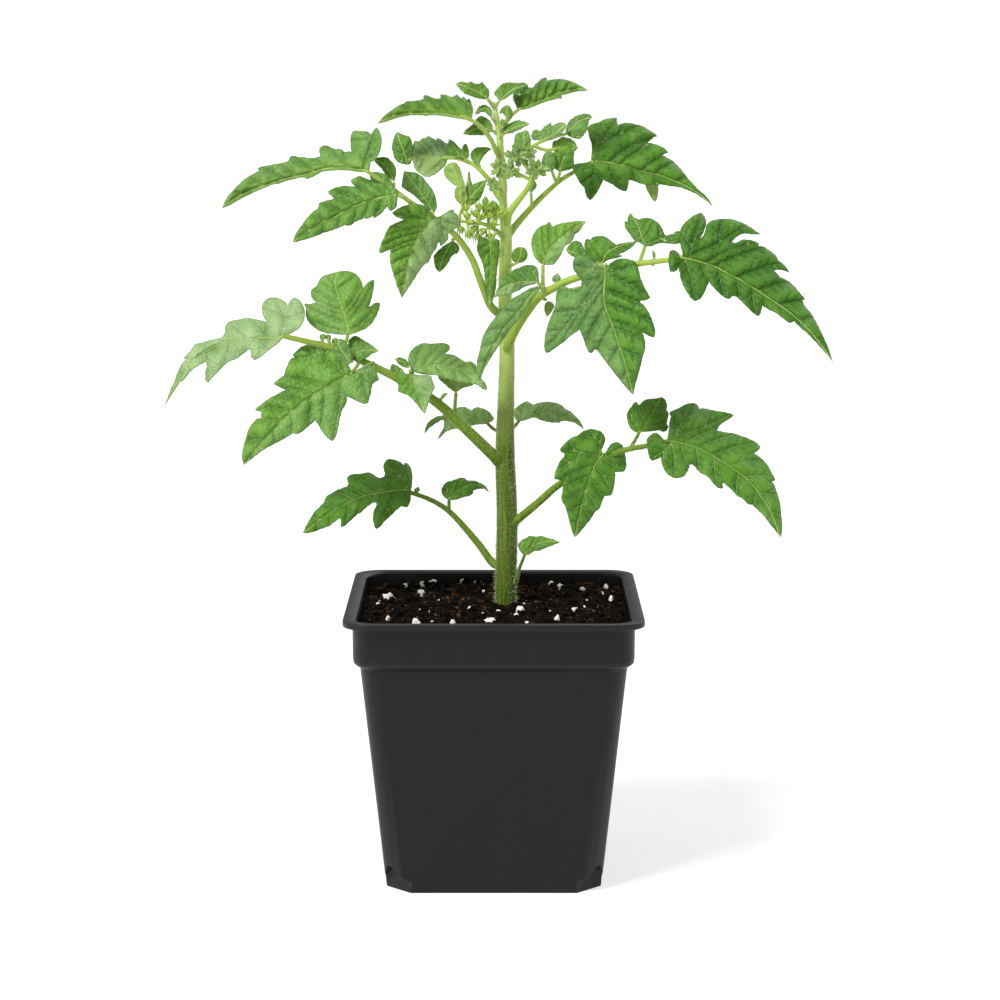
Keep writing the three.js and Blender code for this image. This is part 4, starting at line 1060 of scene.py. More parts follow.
def vein_twigs(vein, length, spacing):
    """Short twigs to both sides of a vein in turn, each a little different by noise."""
    twigs = []
    start = vein[0]
    along_vein = (vein[-1] - start) / length
    before, after, between = TWIG_SHARES
    places = np.arange(before * TWIG_GAP, length - after * TWIG_GAP, between * TWIG_GAP)
    for number, place in enumerate(places):
        chance = noise.noise(Vector((*(start * CHANCE_RATES[0]), place * CHANCE_RATES[1])))
        at = vein[max(1, int((place + TWIG_SHIFT * chance) / length * (len(vein) - 1)))]
        turn = (TWIG_TURN + TWIG_SWING * chance) * (1 if number % 2 else -1)
        tip = at + turned(along_vein, turn) * (TWIG_LENGTH + TWIG_GROWTH * chance) * spacing
        twigs.append(smooth_line([at, (at + tip) / 2 - along_vein * TWIG_BEND * spacing, tip], TWIG_STEP))
    return twigs


def side_veins(rib, line, spacing):
    """The side veins and twigs between the rib and one edge."""
    veins, twigs, taken = [], [], []
    for target in vein_targets(line, rib, spacing):
        parent = rib
        start_at = vein_start(target, rib, FIRST_VEIN * spacing)
        if any(abs(start_at - other) < VEIN_ROOM * spacing for other in taken):
            parent = min(veins, key=lambda vein: nearest(target[None], vein)[0][0])
            start_at = vein_start(target, parent, FIRST_VEIN * VEIN_ROOM * spacing)
        lengths = lengths_along(parent)
        index = min(int(np.argmin(abs(lengths - start_at))), len(parent) - 2)
        heading = parent[index + 1] - parent[index]
        heading /= np.linalg.norm(heading)
        reach = target - parent[index]
        length = np.linalg.norm(reach)
        if start_at > LAST_VEIN * lengths[-1] or length < SHORTEST_VEIN:
            continue
        if parent is rib:
            taken.append(start_at)
        vein = bent_vein(parent[index], heading, reach, length)
        veins.append(vein)
        twigs += vein_twigs(vein, length, spacing)
    return veins, twigs


# %% [markdown]
# A lobed blade can't be grown from a primitive with operators, because every edge point is its own. So the
# edge, the rib and the side veins are laid out flat as fixed lines, even points are strewn between them, and
# a constrained fill joins all with well-shaped triangles.

# %% Flat lines and triangles of a blade
SPACING = 1.55
LEAST_STEPS = 14
STEPS_A_TOOTH = 4
VEINS_A_SIDE = 8
VEIN_SPACING = (6, 20)
SECOND_EDGE_SEED = 0.37
ROW_SHARE = 0.866
CLEAR_SHARE = 0.55
FILL_INSIDE = 1
SAME_PLACE = 1e-3


def blade_lines(leaflet, teeth, seed):
    """The rib, both edges, the side veins and twigs of a blade as flat lines in units of the front view."""
    keys = flat(leaflet["rib"])
    heading = keys[-1] - keys[0]
    size = np.linalg.norm(heading)
    spacing = min(SPACING, size / LEAST_STEPS)
    rib = smooth_line(keys, spacing)
    vein_spacing = min(max(size / VEINS_A_SIDE, VEIN_SPACING[0]), VEIN_SPACING[1])
    edges, veins, twigs = [], [], []
    for number, edge in enumerate(leaflet["edges"]):
        side = 1 if cross(heading, flat(edge).mean(axis=0) - keys[0]) > 0 else -1
        edge_keys = np.array([keys[0], *flat(edge), keys[-1]])
        line = margin(edge_keys, side, min(spacing, teeth[1] / STEPS_A_TOOTH), teeth,
                      seed + SECOND_EDGE_SEED * number)
        more_veins, more_twigs = side_veins(rib, line, vein_spacing)
        edges.append(line)
        veins += more_veins
        twigs += more_twigs
    return size, spacing, rib, edges, veins, twigs


def fill_between(fixed, outline, spacing):
    """Places and triangles of a flat mesh that holds all the fixed lines."""
    low, high = outline.min(axis=0), outline.max(axis=0)
    rows = np.arange(low[1], high[1], spacing * ROW_SHARE)
    columns = np.arange(low[0], high[0] + spacing, spacing)
    strewn = np.array([(column + spacing / 2 * (index % 2), row)
                       for index, row in enumerate(rows) for column in columns])
    strewn = strewn[inside(strewn, outline)]
    strewn = strewn[closest(strewn, fixed, 0) > CLEAR_SHARE * spacing]
    places, edges = [], []
    for line in fixed:
        start = len(places)
        places.extend(line)
        edges.extend((start + index, start + index + 1) for index in range(len(line) - 1))
    corners = [Vector(place) for place in [*places, *strewn]]
    filled = delaunay_2d_cdt(corners, edges, [], FILL_INSIDE, SAME_PLACE)
    return np.array([place[:] for place in filled[0]]), [list(face) for face in filled[2]]


# %% [markdown]
# Then each point gets its depth. The slope and fold of the CAD blade come first. On them the fields between
# the veins bulge, the midrib lies in a groove, and the edge waves a little. Downy and smooth blades have a
# shallower relief.

# %% Depth and relief of a blade
PLAIN_FOLD = 0.12
PLAIN_WARMTH = 0.12
FULL_SIZE = 34
STEEPEST = 1.7
RIPPLE_RATE = 0.07
# Heights of the forms of the relief, in millimetres.
FIELD_HEIGHT = 1.2
SMALL_FIELD_HEIGHT = 0.85
RIPPLE_HEIGHT = 1.1
GROOVE_DEPTH = 0.4
WAVE_HEIGHT = 0.8
WAVE_LENGTH = 17
# How much of the relief down and smoothness take away.
DOWN_LOSS = 0.8
SMALL_DOWN_LOSS = 0.6
SMOOTH_LOSS = 0.6
# How far from its line each form of the relief reaches, in millimetres.
FIELD_REACH = 1.1
SMALL_FIELD_REACH = 0.6
EDGE_REACH = 1.3
GROOVE_REACH = 1.2
DOWN_REACH = 0.9
FLUSH_REACH = 3.2
ON_EDGE = 1e-3


def blade_depth(leaflet, places, rib):
    """The depth of each place in millimetres, and how far it lies along and across the blade."""
    base = flat(leaflet["rib"][0])
    run = flat(leaflet["rib"][-1]) - base
    length = np.linalg.norm(run)
    along = run / length
    across = np.array([-along[1], along[0]])
    if (flat(leaflet["edges"][0]) - base).sum(axis=0) @ across < 0:
        across = -across
    offset = places - base
    slope = leaflet["lean"] * offset @ along + leaflet["roll"] * offset @ across
    slope = slope + leaflet.get("fold", PLAIN_FOLD) * nearest(places, rib)[0]
    reach = np.linalg.norm(offset, axis=1) / length
    depth = leaflet["depth"] + slope * VIEW_UNIT + leaflet.get("curl", 0) * reach ** 2
    return depth, offset @ along, offset @ across


def rise_from(distance, reach):
    """0 on a line, and close to 1 beyond its reach."""
    return 1 - np.exp(-distance / reach)


def groove_at(distance, reach):
    """1 on a line, and close to 0 beyond its reach."""
    return np.exp(-(distance / reach) ** 2)


def blade_relief(leaflet, mm, along, ripple, bloom, lush, seed):
    """The height of each place over the plain blade in millimetres, and how high the fields stand."""
    field = rise_from(np.minimum(mm["rib_mm"], mm["vein_mm"]), FIELD_REACH)
    small_field = rise_from(mm["twig_mm"], SMALL_FIELD_REACH)
    inner = rise_from(mm["edge_mm"], EDGE_REACH)
    waves = np.sin(along * VIEW_UNIT * 2 * math.pi / WAVE_LENGTH + seed) * (1 - inner) * WAVE_HEIGHT
    bulge = (FIELD_HEIGHT - DOWN_LOSS * bloom) * (0.3 + 0.7 * inner)
    small_bulge = (SMALL_FIELD_HEIGHT - SMALL_DOWN_LOSS * bloom) * small_field * inner
    quilted = lush * (1 - SMOOTH_LOSS * leaflet.get("smooth", 0))
    height = quilted * field * (bulge + small_bulge)
    height += lush * (RIPPLE_HEIGHT * ripple + waves)
    height -= GROOVE_DEPTH * lush * groove_at(mm["rib_mm"], GROOVE_REACH)
    return height, field, small_field


# %% The blade of a leaflet
# How strongly noise changes the tone, the painted crest light, and the down with its painted sheen.
TONE_RIPPLE = 0.2
CREST_RIPPLE = 0.15
DOWN_AND_SHEEN_RIPPLE = 0.6
# Painted light on a blade: how bright it is at its sunken veins, and what a raised field and a small field add.
CREST_LOW = 0.08
CREST_FIELD = 0.3
CREST_SMALL_FIELD = 0.3
# How much of the flush along the midrib is gone at the tip.
FLUSH_FADE = 0.6
# Down and young flesh make the painted crease shade fainter, as if their lines were this much farther away.
DOWN_VEIL = 0.35
YOUNG_VEIL = 0.12
# The midrib's colour has a sharp edge at the base and a softer one at the tip.
RIB_SHARPNESS = 1.5
TIP_SOFTENING = 0.7
# Where a blade has no veins, they count as this many times as far away as its midrib.
FAR = 9
LUSH_GROWTH = 0.7
PATTERN_SHIFT = 0.37


def make_blade(leaflet, tone, teeth, seed):
    """Points, triangles, skins, UV and layers of one blade, with its rib and outline as lines in space."""
    size, spacing, rib, edges, veins, twigs = blade_lines(leaflet, teeth, seed)
    outline = np.concatenate([edges[0], edges[1][-2:0:-1]])
    closed = np.array([*outline, outline[0]])
    half_outline = np.concatenate([edges[0], rib[-2:0:-1]])
    twigs = [line for line in twigs if inside(line, outline).all()]
    places, faces = fill_between([closed, rib, *veins, *twigs], outline, spacing)

    rib_units, along_rib = nearest(places, rib)
    edge_units, along_edge = nearest(places, closed)
    rib_mm = rib_units * VIEW_UNIT
    mm = {"rib_mm": rib_mm, "vein_mm": closest(places, veins, FAR * rib_mm) * VIEW_UNIT,
          "twig_mm": closest(places, twigs, FAR * rib_mm) * VIEW_UNIT, "edge_mm": edge_units * VIEW_UNIT}
    depth, along, across = blade_depth(leaflet, places, rib)
    tipwards = along_rib / (along_rib.max() + TINY)
    lush = min(size * VIEW_UNIT / FULL_SIZE, 1.0) ** LUSH_GROWTH
    ripple = np.array([noise.noise(Vector((*(place * RIPPLE_RATE), seed))) for place in places])
    # A value for each half paints a sheen on the half that catches the light.
    halves = np.broadcast_to(leaflet.get("bloom", 0), 2)
    own_half = np.where(inside(places, half_outline), *halves)
    bloom = halves.mean() + (own_half - halves.mean()) * rise_from(rib_mm, DOWN_REACH)
    height, field, small_field = blade_relief(leaflet, mm, along, ripple, bloom, lush, seed)

    shown = leaflet.get("under", False)
    steep = min(math.hypot(1, leaflet["lean"], leaflet["roll"]), STEEPEST)
    lift = height * steep * (1 if shown is True else -1)
    points = seen(places * (1, -1), depth + lift)
    stretch = np.array([math.hypot(1, leaflet["lean"]), math.hypot(1, leaflet["roll"])])
    middles = places[np.array(faces)].mean(axis=1)
    on_edge = mm["edge_mm"] < ON_EDGE

    tones = np.clip(leaflet.get("tone", tone) + TONE_RIPPLE * ripple, 0, 1)
    # The crest layer is painted light on the raised fields and painted shade at the sunken veins, taken from
    # the relief.
    crest_light = (CREST_LOW + CREST_FIELD * field + CREST_SMALL_FIELD * small_field * field
             + CREST_RIPPLE * ripple - leaflet.get("shade", 0))
    warm = leaflet.get("warm", PLAIN_WARMTH) * groove_at(rib_mm, FLUSH_REACH) * (1 - FLUSH_FADE * tipwards)
    shallow = DOWN_VEIL * bloom + YOUNG_VEIL * tones
    layers = {"rib_mm": rib_mm * (RIB_SHARPNESS - TIP_SOFTENING * tipwards),
              "vein_mm": mm["vein_mm"] + shallow, "twig_mm": mm["twig_mm"] + shallow,
              "edge_mm": mm["edge_mm"], "tone": tones, "crest_light": np.clip(crest_light, 0, 1), "warm": warm,
              "bloom": np.clip(bloom * (1 + DOWN_AND_SHEEN_RIPPLE * ripple), 0, 1),
              "smooth": np.full(len(places), leaflet.get("smooth", 0))}
    return {"points": points, "faces": faces, "size": size, "layers": layers,
            "uv": np.column_stack([along, across]) * stretch * VIEW_UNIT * MM + seed * PATTERN_SHIFT,
            "under": np.where(inside(middles, half_outline), *np.broadcast_to(shown, 2)),
            "rib": seen(rib * (1, -1), blade_depth(leaflet, rib, rib)[0]),
            "outline": points[on_edge][np.argsort(along_edge[on_edge])]}


# %% [markdown]
# All the blades of one leaf go into one mesh with their layers as attributes, and Solidify gives it the real
# thickness of about a third of a millimetre. Its second skin takes the next material, so a blade has its
# upper skin on one face and its underside on the other.

# %% Blades of a leaf in one piece
BLADE_THICKNESS = 0.34


def blade_piece(name, blades):
    points = np.concatenate([blade["points"] for blade in blades])
    faces, start = [], 0
    for blade in blades:
        faces.extend([[corner + start for corner in face] for face in blade["faces"]])
        start += len(blade["points"])
    piece = mesh_piece(name, points, faces)
    mesh = piece.data
    for layer in LAYERS:
        values = np.concatenate([blade["layers"][layer] for blade in blades])
        mesh.attributes.new(layer, "FLOAT", "POINT").data.foreach_set("value", values)
    corners = np.zeros(len(mesh.loops), int)
    mesh.loops.foreach_get("vertex_index", corners)
    uv = np.concatenate([blade["uv"] for blade in blades])[corners]
    mesh.uv_layers.new(name="blade").data.foreach_set("uv", uv.ravel())
    for material in (UPPER_SKIN, LOWER_SKIN, UPPER_SKIN):
        mesh.materials.append(material)
    under = np.concatenate([blade["under"] for blade in blades]).astype(int)
    mesh.polygons.foreach_set("material_index", under)
    apply_modifier(piece, "SOLIDIFY", thickness=BLADE_THICKNESS * MM, offset=0, material_offset=1)
    bpy.ops.object.shade_smooth()
    return piece


# %% [markdown]
# A stalk swells where it joins the stem and thins towards its leaf. The midrib runs on from it along the back
# of the blade and ends at the tip.

# %% Stalks and ribs
SWELLING_REACH = 5.5
SWELLING_SHARE = 0.35
HIDDEN_SHARE = 0.3
HIDDEN_REACH = 8
PETIOLE_STEP = 2.5
STALK_STEP = 1.5
STALK_THICKEST = 0.9
STALK_TAPER = 0.85
RIB_SLENDERNESS = 210
RIB_RADII = (0.26, 0.6)
RIB_END = 0.08
# A midrib stands out by this share of its radius and a little more.
RIB_OUT = 0.62
RIB_CLEAR = 0.04


def tapered(points, start, end, swelling=0.0):
    """Radii from start to end along a line. A swelling also hides the line's root in the stem."""
    lengths = lengths_along(points)
    radii = start + (end - start) * lengths / lengths[-1]
    hidden = np.clip(HIDDEN_SHARE + lengths / HIDDEN_REACH, HIDDEN_SHARE, 1) if swelling else 1
    return hidden * (radii + swelling * groove_at(lengths, SWELLING_REACH))


def leaf_runs(leaf, blades):
    """The main stalk, then each leaflet's stalk with its midrib."""
    root, tip = leaf["radii"]
    main = smooth_line(seen_line(leaf["petiole"]), PETIOLE_STEP)
    stalks, ribs = [(main, tapered(main, root, tip, SWELLING_SHARE * root))], []
    for leaflet, blade in zip(leaf["leaflets"], blades):
        thick = min(tip, STALK_THICKEST)
        if "stalk" in leaflet:
            stalk = smooth_line(seen_line(leaflet["stalk"]), STALK_STEP)
            if len(stalk) > 2:
                stalks.append((stalk, tapered(stalk, thick, STALK_TAPER * thick)))
        line = blade["rib"].copy()
        width = min(max(blade["size"] / RIB_SLENDERNESS, RIB_RADII[0]), RIB_RADII[1])
        radii = tapered(line, width, RIB_END)
        line[:, 1] += (RIB_OUT * radii + RIB_CLEAR) * (-1 if leaflet.get("under") is True else 1)
        ribs.append((line, radii))
    return stalks, ribs


# %% [markdown]
# Hairs stand out from stem and stalks and catch the light as a pale fringe. Particle hair isn't part of a
# mesh, so each hair is a thin three-sided spike, rooted inside the skin.

# %% Hairs
HAIR_RADIUS = 0.065
HAIR_ROOT = 0.12
HAIR_LEAN = 0.28


def unit(vectors, least=TINY):
    return vectors / (np.linalg.norm(vectors, axis=1)[:, None] + least)


def hair_spikes(line, radii, random, per_mm, short, long):
    """Four corners for each hair on one round form: three round its root, then its tip."""
    lengths = lengths_along(line)
    count = int(lengths[-1] * per_mm)
    places = random.uniform(0, lengths[-1], count)
    index = np.clip(np.searchsorted(lengths, places) - 1, 0, len(line) - 2)
    share = ((places - lengths[index]) / (lengths[index + 1] - lengths[index] + TINY))[:, None]
    centre = line[index] * (1 - share) + line[index + 1] * share
    radii = np.asarray(radii)[:, None]
    radius = radii[index] * (1 - share) + radii[index + 1] * share
    forward = unit(line[index + 1] - line[index])
    away = random.normal(size=(count, 3))
    away -= (away * forward).sum(axis=1)[:, None] * forward
    away = unit(away, 0)
    lean = unit(away + HAIR_LEAN * random.normal(size=(count, 3)), 0)
    length = random.uniform(short, long, count)[:, None]
    root = centre + away * (radius - HAIR_ROOT)
    first = unit(np.cross(lean, forward))
    second = np.cross(lean, first)
    corners = []
    for turn in range(3):
        angle = turn * 2 * math.pi / 3
        corners.append(root + HAIR_RADIUS * (math.cos(angle) * first + math.sin(angle) * second))
    return np.stack([*corners, root + lean * length], axis=1).reshape(-1, 3)


def hairs_along(runs, per_mm, short, long, seed):
    """Hairs on round forms, with so many per millimetre and lengths from short to long."""
    random = np.random.default_rng(seed)
    return np.concatenate([hair_spikes(line, radii, random, per_mm, short, long) for line, radii in runs])


def hair_piece(name, groups):
    points = np.concatenate(groups)
    faces = []
    for start in range(0, len(points), 4):
        tip = start + 3
        faces += [(start, start + 1, tip), (start + 1, start + 2, tip), (start + 2, start, tip),
                  (start, start + 2, start + 1)]
    return finish_piece(mesh_piece(name, points, faces), name, [HAIR])


# %% [markdown]
# The main stem rises from a plain hole in the soil. It is thickest there, bends a little at each leaf and
# thins to the crown.

# %% Main stem
# Column, row and radius of the stem in the front view, from the soil to the crown.
STEM_SEEN = [
    (505.5, 603, 5.1), (507, 520, 5.0), (505, 453, 4.6), (506, 400, 3.9), (507, 345, 3.5), (505, 295, 3.1),
    (505.5, 260, 2.9), (506, 230, 2.6), (503, 206, 2.0), (503, 184, 1.8), (501, 160, 1.7), (499.5, 138, 1.4),
    (496, 115, 1.1), (493, 102, 0.8),
]
STEM_DEPTH = 24.0
STEM_STEP = 1.6
stem_keys = seen([place[:2] for place in STEM_SEEN], np.zeros(len(STEM_SEEN)))
stem_keys = np.array([stem_keys[0] - [0, 0, STEM_DEPTH], *stem_keys])
stem_radii = [STEM_SEEN[0][2], *[place[2] for place in STEM_SEEN]]
stem_both = smooth_line(np.column_stack([stem_keys, stem_radii]), STEM_STEP)
stem_line, stem_radius = stem_both[:, :3], stem_both[:, 3]
print("Stem length in mm:", round(float(lengths_along(stem_line)[-1]), 1))

# %% [markdown]
# Each leaf is written down as it is seen: its stalk, and for each leaflet the rib and the two edges through
# all lobe tips and notches. Places are column,row of the front view, or column,row,depth with the depth in
# millimetres. Depth, lean, roll, fold and curl put the blade in space, as in the CAD model. Where a leaflet
# shows its pale underside, under says so. Tone, warm, the pale down with its painted sheen, and smooth are its
# own layers, and shade darkens it. Under and the down with its sheen are one value, or one for each half;
# where the down and sheen differ by half, the half that catches the light is painted paler.

# %% Words for leaves
LEAVES = []


def places_of(text):
    """Turns a row of places into a list of tuples."""
    return [tuple(float(number) for number in place.split(",")) for place in text.split()]


def leaflet(rib, first_edge, second_edge, stalk="", **form):
    """A leaflet as it is seen: its rib and both edges from base to tip, its stalk if any, and its form."""
    made = {"rib": places_of(rib), "edges": [places_of(first_edge), places_of(second_edge)], **form}
    if stalk:
        made["stalk"] = places_of(stalk)
    return made


def add_leaf(name, radii, petiole, leaflets, tufts=(), buds=""):
    """Adds a leaf. Radii are those of its stalk at the stem and at its end."""
    LEAVES.append({"name": name, "radii": radii, "petiole": places_of(petiole), "leaflets": leaflets,
                   "tufts": tufts, "buds": places_of(buds)})
    print(f"{name}: {len(leaflets)} leaflets")


# %% Low left leaf
add_leaf("leaf_low_left", radii=(2.1, 1.0),
         petiole="505,569,0 492,562,3 477,542,6 451,513,10 431,500,12 409,492,14",
         leaflets=[
    leaflet("411,490 398,490.5 385,492 373,494 362,497 350,501.5 339,507.5 323,518 311,527 303,533",
            "412,483 412.4,476 410.5,468 408,464 405,463 403.6,465 401.7,463 398,461 393,459.5 388,459 "
            "385.5,461 383.6,466 384,470 385,473 384.5,476.5 381.7,478 378,477.6 374,475 370.5,473 "
            "366,472.6 361.7,474 354,474 349,475.7 347,478 348,481 348.4,484.5 347,487 341.7,488.5 "
            "335.5,491 329,495 326,497 325,499.5 324,502.6 320.5,506 314,513 309,521 305.5,527",
            "411,496 410,502 407,507 404,507 401,506.5 397,509.5 390.5,516 384,522 379,527.6 376,529 "
            "374,524.5 373,518 373.6,512 375.5,507 377,504 376,502.4 373,502.6 368,506 364,509.5 360.5,513 "
            "357.4,514.5 353,518 348,523 343.6,526.4 341.4,527 340.5,523 341,520 340,518 335.5,521 329,526 "
            "324,528 321.7,528.5 316.7,530.7 309,533",
            depth=14, lean=-0.1, roll=1.0, curl=-4, smooth=0.6),
    leaflet("449,500 455,494 463,488 472,485 481,486 489,492",
            "444,497 441.7,493 441.4,489.5 444,485 446.7,482 451,481 455.5,479.5 460.5,478 464,478 "
            "466.7,480 470,481 473,480.5 478,482 483,484.5 487,488",
            "453,500 458,499 464,497 469,496 473.5,493 473,491 478,489 484,488.5 487.5,491",
            stalk="449,512,10 449,500,9", depth=9, lean=0.1, roll=0.9),
    leaflet("416.5,494 417,490 418,486.5",
            "414,490",
            "420,490",
            depth=13, lean=0.3, roll=0),
])

# %% Low right leaf
add_leaf("leaf_low_right", radii=(2.2, 1.1),
         petiole="506,527,3 517,520,-3 540,501,-9 560,484,-13 602,459,-19 625,450,-22 646,446,-24 "
                 "669,441,-26",
         leaflets=[
    leaflet("667,441 679,443 691,446 699,449 709,454 719,460 732,468 744,477 754,487 762,498.5 769.5,510 "
            "776.5,527 781,537.5",
            "667.7,436 669,430 669.6,422 671,416 669.4,413 672,411 677,409 681,407 686.6,404 692,403 "
            "696.6,404 698,407 699.4,409 705,408.6 712,410.4 719.4,411.4 728,413 733.7,415 732,417 "
            "726.6,420.7 721,424 718,428 717,431 725,432.4 733.7,433.6 741,436 749.4,439 756.6,443 760,447 "
            "758.7,450 753,453 756.6,455 762,459 768,466 772,474 775,480 771.6,481.4 774.4,486 777,493 "
            "779.4,501 781,513 782,526",
            "664.4,440 662,438 660,435 656.6,433 653.7,433 650,435.4 647,438.6 646.6,443.6 648,451.4 "
            "650,458.6 653,460.7 657,459 661,457 661.6,463 664.4,470 668.7,475 675,478 679.4,478 "
            "684.4,475.7 688,470 689.4,465 692,464 695,467 698.7,471.4 703.7,475 706.6,475.7 711,480 "
            "715,485 719.4,488.6 723,488 722,484 724.4,483 728.7,487 733.7,492 738,496.4 743,498.6 "
            "746.6,503 750,505 752,504 756.6,508.6 763.7,515.7 771,525",
            depth=-26, lean=-0.15, roll=1.0, curl=-6, smooth=0.75),
    leaflet("603,455 598,461 593.7,468 590,477 586.6,488.6 583,501.4 579.4,515.7 575,537",
            "601.6,450.7 603,446.4 605,441.4 604.7,436.4 601.6,432 596.6,430 591,429 586,430 581,432.6 "
            "578,435.4 574.4,436.4 569.4,439 564.4,444 560,449.3 561,452 565,453.6 563.7,457 559.4,462 "
            "556.6,468.6 554.4,475.7 554.4,479 558,479.3 563.7,481.4 563,487 562,493 561.6,500 563.7,504 "
            "565,505.7 567,513 569.4,521.4 571.6,530",
            "606.6,450.7 608.7,447 611,444.3 615,442 618.7,442.6 622,445 624.4,449.3 625,454.3 626,461.4 "
            "625.9,468.6 623.7,471.7 619.4,472 615,472 614.9,478.6 613.7,487 611,495 607,495.7 604,496.4 "
            "602,501.4 599.4,508.6 595,512 591,518.6 585,525.7 579.4,533",
            stalk="603,459,-19 603,454,-23", depth=-23, lean=-0.25, roll=-0.3, curl=-5, smooth=0.6),
    leaflet("639.5,433 645,426 650,417 655,408 661,397",
            "633.7,431.4 629.4,426.4 627.3,420 627,414.3 629.4,408.6 631.6,406.4 633.7,403 636,402 "
            "638,404.3 640,405 643,401.4 646.6,399.3 651,399 656.6,398.3",
            "645,431.4 651,430.4 656.6,429.3 662,431.4 665,431.7 668.7,427 666.6,424 667,421.4 668,417 "
            "668.7,413.6 666.3,410 667,407 666,401.4 663.7,398",
            stalk="630,449,-22 634,442,-18 639,433,-15", depth=-15, lean=0.8, roll=0.1, smooth=0.6),
])

# %% Tiny leaf at the base
add_leaf("leaf_at_base", radii=(1.0, 0.7),
         petiole="507,584,0 516,581,-4 518,572,-6 525,554,-8",
         leaflets=[
    leaflet("524,555 531,548 541,543 551,541 560,542",
            "520,551 518,545 522,540 526,538 530,536 536,537 541,536 547,538 553,539",
            "530,554 534,551 538,551 543,549 548,547 553,545",
            depth=-8, lean=0.1, roll=0.9),
])

